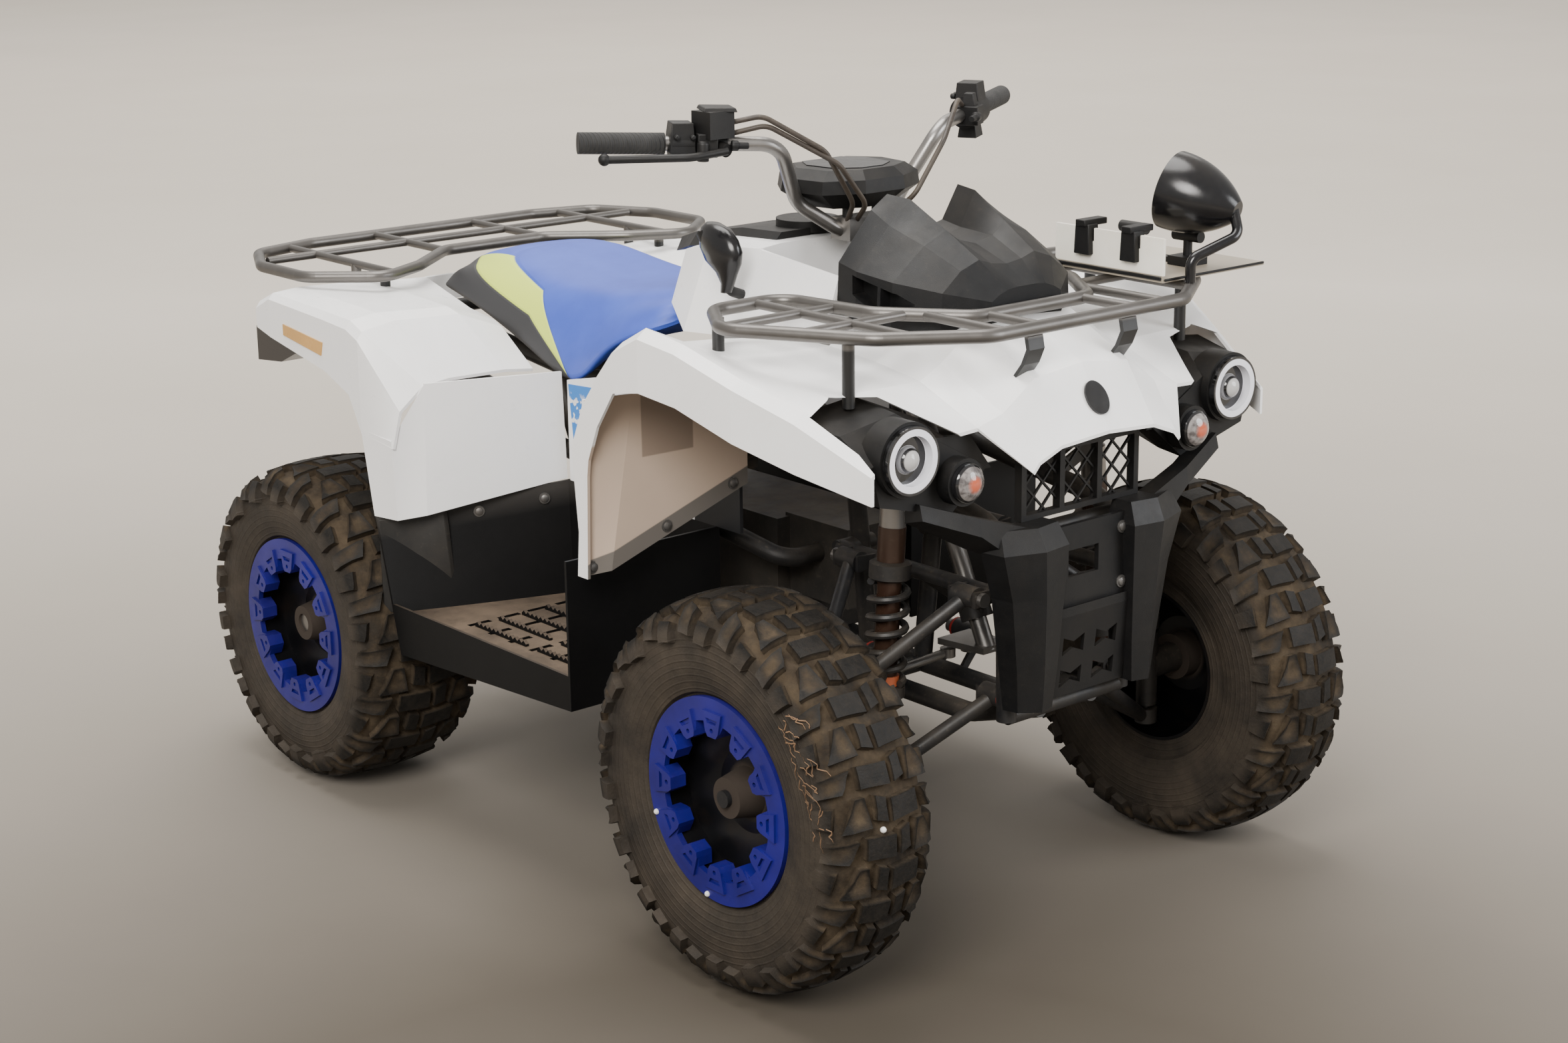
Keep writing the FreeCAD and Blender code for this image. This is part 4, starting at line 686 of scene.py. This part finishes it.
def tyre_profile(radius, width):
    """Half of the carcass section, from the crown outward, as (y, r) pairs."""
    half = width / 2
    crown = radius - LUG_HEIGHT
    shoulder = half - 0.034
    points = []
    for step in range(9):
        share = step / 8
        points.append((shoulder * share, crown - 0.006 * share ** 2))
    for step in range(1, 9):
        turn = math.radians(90) * step / 8
        points.append((shoulder + 0.032 * math.sin(turn),
                       crown - 0.006 - 0.040 * (1 - math.cos(turn))))
    low = RING_RADIUS + 0.018
    high = points[-1][1]
    for step in range(1, 7):
        share = step / 6
        bulge = 0.002 * math.sin(math.pi * share)
        points.append((half - 0.002 + bulge - 0.004 * share ** 3, high + (low - high) * share))
    points += [(half - 0.010, RING_RADIUS + 0.006), (half - 0.0183, RING_RADIUS + 0.002),
               (half - 0.0183, BEAD_RADIUS)]
    return points


class Profile:
    """The tread's section as a path: place and outward way at a run from the crown."""

    def __init__(self, points):
        self.points = [Vector(p) for p in points]
        self.runs = [0.0]
        for a, b in zip(self.points, self.points[1:]):
            self.runs.append(self.runs[-1] + (b - a).length)

    def at(self, run):
        side = -1 if run < 0 else 1
        run = min(abs(run), self.runs[-1] - 1e-6)
        index = next(i for i, far in enumerate(self.runs) if far > run) - 1
        a, b = self.points[index], self.points[index + 1]
        share = (run - self.runs[index]) / (self.runs[index + 1] - self.runs[index])
        spot = a.lerp(b, share)
        way = (b - a).normalized()
        return side * spot.x, spot.y, side * -way.y, way.x


def turned(y, r, angle):
    return Vector((r * math.sin(angle), y, r * math.cos(angle)))


def add_lug(mesh, profile, radius, corners, pit):
    """One raised tread block, its top a little smaller than its foot.

    corners are four (run, along) pairs; pit is the depth of the hollow in its top."""
    cuts = (0.0, 0.3, 0.7, 1.0) if pit else (0.0, 0.33, 0.67, 1.0)
    tops = mesh.verts.layers.float["rise"]
    a, b, c, d = [Vector(corner) for corner in corners]
    middle = (a + b + c + d) / 4
    grid = {}
    for level in (0, 1):
        for i, u in enumerate(cuts):
            for j, v in enumerate(cuts):
                spot = a.lerp(b, u).lerp(d.lerp(c, u), v)
                if level:
                    spot = spot + (middle - spot).normalized() * LUG_TAPER
                y, r, out_y, out_r = profile.at(spot.x)
                rise = LUG_HEIGHT if level else -LUG_SINK
                if level and i in (1, 2) and j in (1, 2):
                    rise -= pit
                angle = spot.y / radius
                vert = mesh.verts.new(turned(y + out_y * rise, r + out_r * rise, angle))
                vert[tops] = max(rise, 0.0) / LUG_HEIGHT
                grid[level, i, j] = vert
    size = len(cuts) - 1
    for i in range(size):
        for j in range(size):
            mesh.faces.new([grid[1, i, j], grid[1, i + 1, j], grid[1, i + 1, j + 1],
                            grid[1, i, j + 1]])
    rim = [(i, 0) for i in range(size)] + [(size, j) for j in range(size)]
    rim += [(i, size) for i in range(size, 0, -1)] + [(0, j) for j in range(size, 0, -1)]
    for here, there in zip(rim, rim[1:] + rim[:1]):
        mesh.faces.new([grid[(0,) + here], grid[(0,) + there],
                        grid[(1,) + there], grid[(1,) + here]])


def tread_blocks(stretch):
    """Outlines of one pitch on one side, as (run, along) corners and a pit's depth.

    A wide bar over the crown, a small block, a pierced triangle and shoulder lugs."""
    blocks = [
        ([(-0.003, -0.020), (0.045, -0.023), (0.046, 0.010), (-0.003, 0.014)], 0.0),
        ([(0.009, 0.027), (0.026, 0.021), (0.028, 0.058), (0.009, 0.064)], 0.0),
        ([(0.034, 0.067), (0.075, 0.069), (0.057, 0.020), (0.041, 0.020)], 0.006),
        ([(0.055, -0.021), (0.098, -0.016), (0.103, 0.013), (0.066, 0.012)], 0.004),
        ([(0.080, 0.029), (0.108, 0.026), (0.111, 0.058), (0.085, 0.063)], 0.0),
    ]
    return [([(run * stretch, along) for run, along in corners], pit)
            for corners, pit in blocks]


def add_tyre(end, side_name, side):
    sizes = TYRES[end]
    radius = sizes["radius"]
    points = tyre_profile(radius, sizes["width"])
    profile = Profile(points)
    pitch = 2 * math.pi * radius / PITCHES

    def build(mesh):
        mesh.verts.layers.float.new("rise")
        line = [(-y, r) for y, r in reversed(points[1:])] + points
        rings = [[mesh.verts.new(turned(y, r, angle)) for y, r in line]
                 for angle in turns(CARCASS_STEPS)]
        for ring, after in zip(rings, rings[1:] + rings[:1]):
            for index in range(len(line) - 1):
                mesh.faces.new([ring[index], ring[index + 1], after[index + 1], after[index]])
            mesh.faces.new([ring[-1], ring[0], after[0], after[-1]])
        for half in (1, -1):
            for count in range(PITCHES):
                start = pitch * (count + (0.5 if half < 0 else 0.0))
                for corners, pit in tread_blocks(profile.runs[SHOULDER_POINT] / TREAD_RUN):
                    moved = [(half * run, start + along) for run, along in corners]
                    add_lug(mesh, profile, radius, moved, pit)

    data = mesh_from(build, f"{end}_tyre_{side_name}_tread")
    centre = AXLES[end] + Vector((0, side * sizes["y"], 0))
    data.transform(Matrix.Translation(centre))
    body = "rear_wheels" if end == "rear" else f"front_wheel_{side_name}"
    piece = new_piece(f"{end}_tread_{side_name}", data, body, "tyre_rubber",
                      tyre_skin(f"tyre_{end}_{side_name}", centre, radius), 30)
    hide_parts(f"{end}_tyre_{side_name}")


def add_wheel_marks():
    """A dried stem caught on the front right tyre, and three pale specks."""
    sizes = TYRES["front"]
    profile = Profile(tyre_profile(sizes["radius"], sizes["width"]))
    centre = AXLES["front"] - Vector((0, sizes["y"], 0))
    chance = random.Random(4)

    def on_tyre(run, turn, rise):
        y, r, out_y, out_r = profile.at(run)
        return centre + turned(-(y + out_y * rise), r + out_r * rise, math.radians(turn))

    def stem(mesh):
        for _ in range(26):
            run = 0.100 + chance.uniform(-0.012, 0.016)
            turn = 40 + 44 * chance.random()
            rings = []
            for _ in range(chance.randint(4, 7)):
                spot = on_tyre(run, turn, 0.0135)
                rings.append([spot + Vector((0.0013 * math.cos(bend), 0.0004 * corner,
                                             0.0013 * math.sin(bend)))
                              for corner, bend in enumerate(turns(5))])
                run += chance.uniform(-0.006, 0.004)
                turn += chance.uniform(0.4, 1.8)
            tube_rings(mesh, rings)

    def specks(mesh):
        face = centre.y - sizes["width"] / 2 + 0.0075
        places = []
        for turn, radius in ((-112, 0.147), (-172, 0.148)):
            spot = turned(0, radius, math.radians(turn))
            places.append((centre.x + spot.x, face, centre.z + spot.z))
        for place in places + [on_tyre(0.02, 84, 0.013)]:
            bmesh.ops.create_icosphere(mesh, subdivisions=2, radius=0.0045,
                                       matrix=Matrix.Translation(place))

    add_piece("dry_stem", stem, "front_wheel_right", "tyre_rubber",
              finish("dry_stem", (0.20, 0.115, 0.060), 0.8, dust=0.0, mottle=0.4))
    add_piece("pale_specks", specks, "front_wheel_right", "white_plastic",
              finish("pale_speck", (0.85, 0.84, 0.82), 0.4, dust=0.0, mottle=0.0), 60)


# Dampers and arms


def add_shocks():
    """Dampers with their springs, collars and a worn bright top."""

    def tubes(mesh, top, foot, way):
        add_turned(mesh, top, way, [(0.0, 0.015), (0.020, 0.015), (0.024, 0.0195),
                                    (0.078, 0.0195)])
        for eye, radius in ((top, 0.017), (foot, 0.015)):
            add_turned(mesh, eye - FORWARD * 0.016, FORWARD, [(0.0, radius), (0.032, radius)])

    def rods(mesh, top, _, way):
        add_turned(mesh, top, way, [(0.074, 0.0205), (0.128, 0.0205), (0.130, 0.018),
                                    (0.365, 0.018), (0.38, 0.012)])

    def springs(mesh, top, _, way):
        add_turned(mesh, top, way, [(0.125, 0.026), (0.128, 0.031), (0.150, 0.031),
                                    (0.153, 0.026)], 32)
        add_coil(mesh, top + way * 0.158, way, 0.0272, 0.0056, 5.6, 0.0265)
        add_turned(mesh, top, way, [(0.312, 0.031), (0.328, 0.031)], 32)

    def rings(mesh, top, _, way):
        add_turned(mesh, top, way, [(0.296, 0.0215), (0.311, 0.0215)], 32)

    def add_pair(name, fill, material):
        def build(mesh):
            for side in (1, -1):
                top, foot = mirrored(SHOCK_TOP, side), mirrored(SHOCK_FOOT, side)
                fill(mesh, top, foot, (foot - top).normalized())

        return add_piece(name, build, "chassis", "shock_steel", material, 40)

    add_pair("shock_tubes", tubes,
             finish("shock_tube", (0.30, 0.29, 0.28), 0.3, metallic=0.9, dust=0.35))
    add_pair("shock_rods", rods,
             finish("damper_rod", (0.050, 0.024, 0.015), 0.3, metallic=0.4, dust=0.2))
    piece = add_pair("shock_springs", springs, MATERIALS["frame_black"])
    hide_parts("front_shocks")
    add_pair("shock_rings", rings, finish("spring_ring", (0.55, 0.12, 0.04), 0.4, dust=0.3))


def add_suspension_trim():
    """Red bushes and bolt heads on the pivots of the front arms."""

    def pivots(mesh, arms, start, length, radius):
        for side in (1, -1):
            for y, z in arms:
                for x, way in ARM_ENDS:
                    place = Vector((x + way * start, side * y, z))
                    add_turned(mesh, place, FORWARD * way, [(0.0, radius), (length, radius)],
                               20)

    def bushes(mesh):
        pivots(mesh, ARM_PIVOTS[1:], 0.0175, 0.0042, 0.0164)

    def heads(mesh):
        pivots(mesh, ARM_PIVOTS, 0.0285, 0.008, 0.0105)
        for side in (1, -1):
            for end in (1, -1):
                place = mirrored(SHOCK_FOOT, side) + FORWARD * (end * 0.0235)
                add_turned(mesh, place, FORWARD * end, [(0.0, 0.009), (0.007, 0.009)], 6)

    add_piece("arm_bushes", bushes, "chassis", "frame_black",
              finish("bush_red", (0.30, 0.012, 0.010), 0.5, dust=0.3), 40)
    add_piece("pivot_bolts", heads, "chassis", "bar_steel")


# Seat, markings and lamps


# Sections as (x, half width on top, half width below, height on top, height below)
SEAT_ROWS = (
    (0.060, 0.100, 0.165, 0.905, 0.835), (0.000, 0.112, 0.181, 0.893, 0.817),
    (-0.060, 0.122, 0.196, 0.884, 0.790), (-0.105, 0.127, 0.200, 0.877, 0.746),
    (-0.150, 0.130, 0.202, 0.872, 0.712), (-0.225, 0.135, 0.202, 0.872, 0.735),
    (-0.300, 0.140, 0.202, 0.876, 0.766), (-0.375, 0.137, 0.197, 0.886, 0.787),
    (-0.450, 0.134, 0.192, 0.896, 0.806), (-0.520, 0.127, 0.180, 0.892, 0.814),
    (-0.575, 0.119, 0.168, 0.878, 0.818), (-0.612, 0.108, 0.155, 0.842, 0.818),
)
SEAT_CROWN = 0.006
SEAT_PAN = (0.118, 0.792)  # half width and height of the pan that the cushion clears


def seat_ring(x, top_half, low_half, top, low):
    """One cross-section of the cushion, down its left side and back up the right."""
    flare, depth = low_half - top_half, low - top
    half = [(0.0, top), (0.45 * top_half, top - 0.3 * SEAT_CROWN),
            (0.85 * top_half, top - SEAT_CROWN), (1.03 * top_half, top - 0.022),
            (top_half + 0.35 * flare + 0.006, top + depth * 0.38),
            (top_half + 0.72 * flare + 0.004, top + depth * 0.70),
            (low_half, low + 0.008), (low_half - 0.006, low + 0.001),
            (low_half - 0.022, low + 0.004), (SEAT_PAN[0], max(SEAT_PAN[1], low + 0.006))]
    left = [Vector((x, y, z)) for y, z in half]
    right = [Vector((x, -y, z)) for y, z in reversed(half[1:])]
    return left + right


def add_seat():
    def build(mesh):
        tube_rings(mesh, [seat_ring(*row) for row in SEAT_ROWS])

    piece = add_piece("seat_cushion", build, "chassis", "seat_cover", seat_skin(), 60)
    rounds = piece.modifiers.new("padding", "SUBSURF")
    rounds.levels = 2
    rounds.render_levels = 2
    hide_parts("seat")


def add_markings():
    """Film on the side panels, reflectors on the rear fenders and a blank badge."""

    def film(mesh):
        add_side_plates(mesh, ((-0.146, 0.722), (-0.020, 0.730), (-0.030, 0.640),
                               (-0.085, 0.572), (-0.130, 0.576)), 0.2111, 0.0008)

    def reflectors(mesh):
        add_side_plates(mesh, ((-0.568, 0.802), (-0.440, 0.789), (-0.446, 0.766),
                               (-0.568, 0.783)), 0.4965, 0.0055)

    def badge(mesh):
        centre = Vector((0.846, 0, 0.8305))
        way = Vector((0.85, 0, 0.53)).normalized()
        low = Vector((0.53, 0, -0.85)).normalized()
        ring = [centre + Vector((0, 0.021 * math.cos(turn), 0)) + low * (0.026 * math.sin(turn))
                for turn in turns(28)]
        add_plate(mesh, ring, way * 0.003)

    add_piece("side_film", film, "chassis", "white_plastic", decal_skin())
    add_piece("reflectors", reflectors, "chassis", "tail_lens",
              finish("reflector", (0.62, 0.33, 0.07), 0.25, dust=0.1, coat=0.5))
    add_piece("badge", badge, "chassis", "gloss_black")


def add_lamp_shrouds():
    """Dark trim that closes the gap above each lamp cluster."""
    outline = ((0.160, 0.748), (0.205, 0.806), (0.270, 0.806), (0.300, 0.799),
               (0.330, 0.784), (0.300, 0.770), (0.200, 0.748))

    def build(mesh):
        for side in (1, -1):
            corners = [Vector((0.794, side * y, z)) for y, z in outline]
            add_plate(mesh, corners, FORWARD * 0.004)

    add_piece("lamp_shrouds", build, "chassis", "black_plastic")


# Controls


def bar_frame(side):
    """Where the grip ends on one side, and the ways inward, forward and up."""
    end, bend = mirrored(BAR_END, side), mirrored(BAR_BEND, side)
    inward = (bend - end).normalized()
    ahead = (UP.cross(inward) * -side).normalized()
    if ahead.x < 0:
        ahead.negate()
    up = ahead.cross(inward)
    if up.z < 0:
        up.negate()
    return end + inward * GRIP_INNER, inward, ahead, up


def control_builder(side, blocks, knobs):
    """Blocks and turned knobs beside a grip.

    Their places are (inward, ahead, up) from the grip's inner end."""
    start, inward, ahead, up = bar_frame(side)
    ways = {"inward": inward, "ahead": ahead, "up": up, "back": -ahead}

    def place(inner, front, high):
        return start + inward * inner + ahead * front + up * high

    def build(mesh):
        for spot, sizes, top_scale in blocks:
            add_block(mesh, place(*spot), (inward, ahead, up), sizes, top_scale)
        for spot, way, outline, sides in knobs:
            add_turned(mesh, place(*spot), ways[way], outline, sides)

    return build


def add_control_details():
    """Switch boxes, clamps, buttons and lever joints beside the grips."""
    screw = ((0.0, 0.0045), (0.006, 0.0045), (0.008, 0.003))
    button = ((0.0, 0.005), (0.006, 0.005), (0.008, 0.0035))
    right = control_builder(-1, (
        ((0.016, 0, 0.010), (0.040, 0.050, 0.044), 0.8),
        ((0.020, -0.030, 0), (0.024, 0.016, 0.026), 1.0),
        ((0.052, 0.020, 0), (0.030, 0.022, 0.034), 1.0),
        ((0.070, 0, 0.052), (0.052, 0.054, 0.006), 0.9),
    ), (
        ((0.044, 0.034, -0.022), "up", ((0.0, 0.009), (0.026, 0.009), (0.030, 0.006)), 12),
        ((0.088, 0.024, 0), "inward",
         ((0.0, 0.008), (0.010, 0.008), (0.011, 0.005), (0.026, 0.005)), 12),
        ((0.006, 0.024, 0.012), "ahead", screw, 8),
        ((0.030, 0.024, 0.012), "ahead", screw, 8),
    ))
    left = control_builder(1, (
        ((0.024, 0, 0.016), (0.046, 0.046, 0.060), 0.75),
        ((0.026, 0, -0.030), (0.036, 0.032, 0.024), 0.8),
        ((0.068, 0.012, 0), (0.030, 0.040, 0.030), 1.0),
        ((0.068, 0.014, 0.024), (0.020, 0.022, 0.022), 0.7),
    ), (
        ((0.078, 0.030, 0), "inward",
         ((0.0, 0.008), (0.012, 0.008), (0.013, 0.005), (0.030, 0.005)), 12),
        ((0.010, -0.020, 0.024), "back", button, 10),
        ((0.026, -0.020, 0.024), "back", button, 10),
        ((0.040, -0.020, 0.024), "back", button, 10),
    ))
    for name, build in (("right_switches", right), ("left_switches", left)):
        add_piece(name, build, "steering", "black_plastic", rounding=40, edges=0.0022)


def add_gear_knob():
    """The drop-shaped grip over the end of the shift lever."""
    sections = ((0.290, 0.936, 0.009, 0.009), (0.294, 0.950, 0.012, 0.010),
                (0.292, 0.966, 0.022, 0.013), (0.284, 0.982, 0.038, 0.019),
                (0.279, 1.000, 0.046, 0.020), (0.274, 1.017, 0.042, 0.019),
                (0.268, 1.031, 0.031, 0.016), (0.262, 1.039, 0.014, 0.008))

    def build(mesh):
        tube_rings(mesh, [[Vector((x, -0.222, z)) + FORWARD * (half_wide * math.cos(turn))
                           + LEFT * (half_thin * math.sin(turn)) for turn in turns(16)]
                          for x, z, half_wide, half_thin in sections])

    add_piece("gear_knob", build, "chassis", "black_plastic", MATERIALS["gloss_black"], 50)


def add_pod_glass():
    """The dark window on top of the instrument pod."""
    outline = ((-0.066, 0.040), (-0.030, 0.062), (0.030, 0.056), (0.052, 0.022),
               (0.052, -0.022), (0.030, -0.056), (-0.030, -0.062), (-0.066, -0.040))

    def build(mesh):
        add_plate(mesh, [Vector((0.322 + x, y, 1.1118)) for x, y in outline], UP * 0.0016)

    add_piece("pod_glass", build, "steering", "gloss_black")


# Foot boxes, plate clamps and screws


def wall_spot(share, z, out):
    """A place on a foot box's rear wall: share 0 inboard to 1 outboard, out ahead of it."""
    return Vector((-0.150 - 0.1416 * share + 0.9016 * out, 0.205 + 0.295 * share + 0.4328 * out,
                   z))


def wall_top(share):
    return 0.556 - 0.040 * share


def add_corner_panels():
    """The foot boxes' outer corner, folded a little out of the rear wall."""

    def ring(side, inner, on_top):
        corners = []
        for share, out in ((1.0, -0.002), (1.0, 0.001), (inner, 0.016),
                           (inner - 0.02, 0.013), (inner - 0.03, -0.002)):
            z = wall_top(share) - 0.004 if on_top else FLOOR_TOP - 0.008
            corners.append(mirrored(wall_spot(share, z, out), side))
        return corners

    def build(mesh):
        for side in (1, -1):
            tube_rings(mesh, [ring(side, 0.64, False), ring(side, 0.68, True)])

    # painted light: the corner panel is a lighter grey than the foot box's black wall, with
    # dust on it too
    add_piece("corner_panels", build, "chassis", "black_plastic",
              finish("corner_painted_light_and_dust", (0.016, 0.0155, 0.015), 0.5, dust=0.12, shine=0.35),
              rounding=40, edges=0.0012)


def add_foot_ribs():
    """Toothed ribs that stand on the foot box floors."""
    teeth, pitch = 12, 0.012
    low, root, tip = FLOOR_TOP - 0.001, FLOOR_TOP + 0.004, FLOOR_TOP + 0.009

    def build(mesh):
        for side in (1, -1):
            for start in (-0.105, 0.070):
                for row in range(5):
                    y = side * (0.258 + 0.046 * row)
                    outline = [Vector((start, y, low))]
                    for tooth in range(teeth):
                        x = start + pitch * tooth
                        outline += [Vector((x, y, root)), Vector((x + 0.5 * pitch, y, tip))]
                    last = start + teeth * pitch
                    outline += [Vector((last, y, root)), Vector((last, y, low))]
                    add_plate(mesh, outline, LEFT * 0.006)

    add_piece("foot_ribs", build, "chassis", "black_plastic", footwell_skin("foot_ribs"), 30)


def add_clamp_jaws():
    """Dark jaws of the two clamps in the accessory plate's notches, and dark strips under its
    edges as painted shadow lines.
    """
    ways = (FORWARD, LEFT, UP)

    def build(mesh):
        for x in (0.608, 0.702):
            add_block(mesh, Vector((x, 0.2265, 1.004)), ways, (0.031, 0.024, 0.046), 0.9)
            add_block(mesh, Vector((x, 0.2365, 1.029)), ways, (0.020, 0.050, 0.010))
        # painted shadow: thin dark strips under the flange and along the tray's front edge
        add_block(mesh, Vector((0.655, 0.2235, 0.9615)), ways, (0.216, 0.003, 0.006))
        add_block(mesh, Vector((0.7665, 0.340, 0.9595)), ways, (0.003, 0.226, 0.004))

    add_piece("clamp_jaws", build, "chassis", "black_plastic", rounding=40, edges=0.002)


def add_screws():
    """Screws in the front flaps, along the foot boxes' rear walls and in the grille."""

    def build(mesh):
        for side in (1, -1):
            for x, y, z in FLAP_SCREWS:
                add_screw(mesh, Vector((x, side * y, z)), FORWARD)
            for y in (0.460, 0.350, 0.250):
                share = (y - 0.205) / 0.295
                spot = wall_spot(share, wall_top(share) - 0.022, 0.0)
                add_screw(mesh, mirrored(spot, side), Vector((0.9, side * 0.43, 0)))
            for z in (0.628, 0.545):
                add_screw(mesh, Vector((0.8405, side * 0.066, z)), FORWARD)

    add_piece("screws", build, "chassis", "black_plastic",
              finish("screw_zinc", (0.16, 0.155, 0.15), 0.4, metallic=0.7, dust=0.3), 40)


# Assembly


add_camera()
add_floor()
add_lights()
paint_nodes()
soften_nodes()
for side_name, side in SIDES:
    for end in ENDS:
        add_tyre(end, side_name, side)
add_shocks()
add_seat()
add_markings()
add_screws()
add_wheel_marks()
add_control_details()
add_gear_knob()
add_foot_ribs()
add_corner_panels()
add_clamp_jaws()
add_lamp_shrouds()
add_suspension_trim()
add_pod_glass()
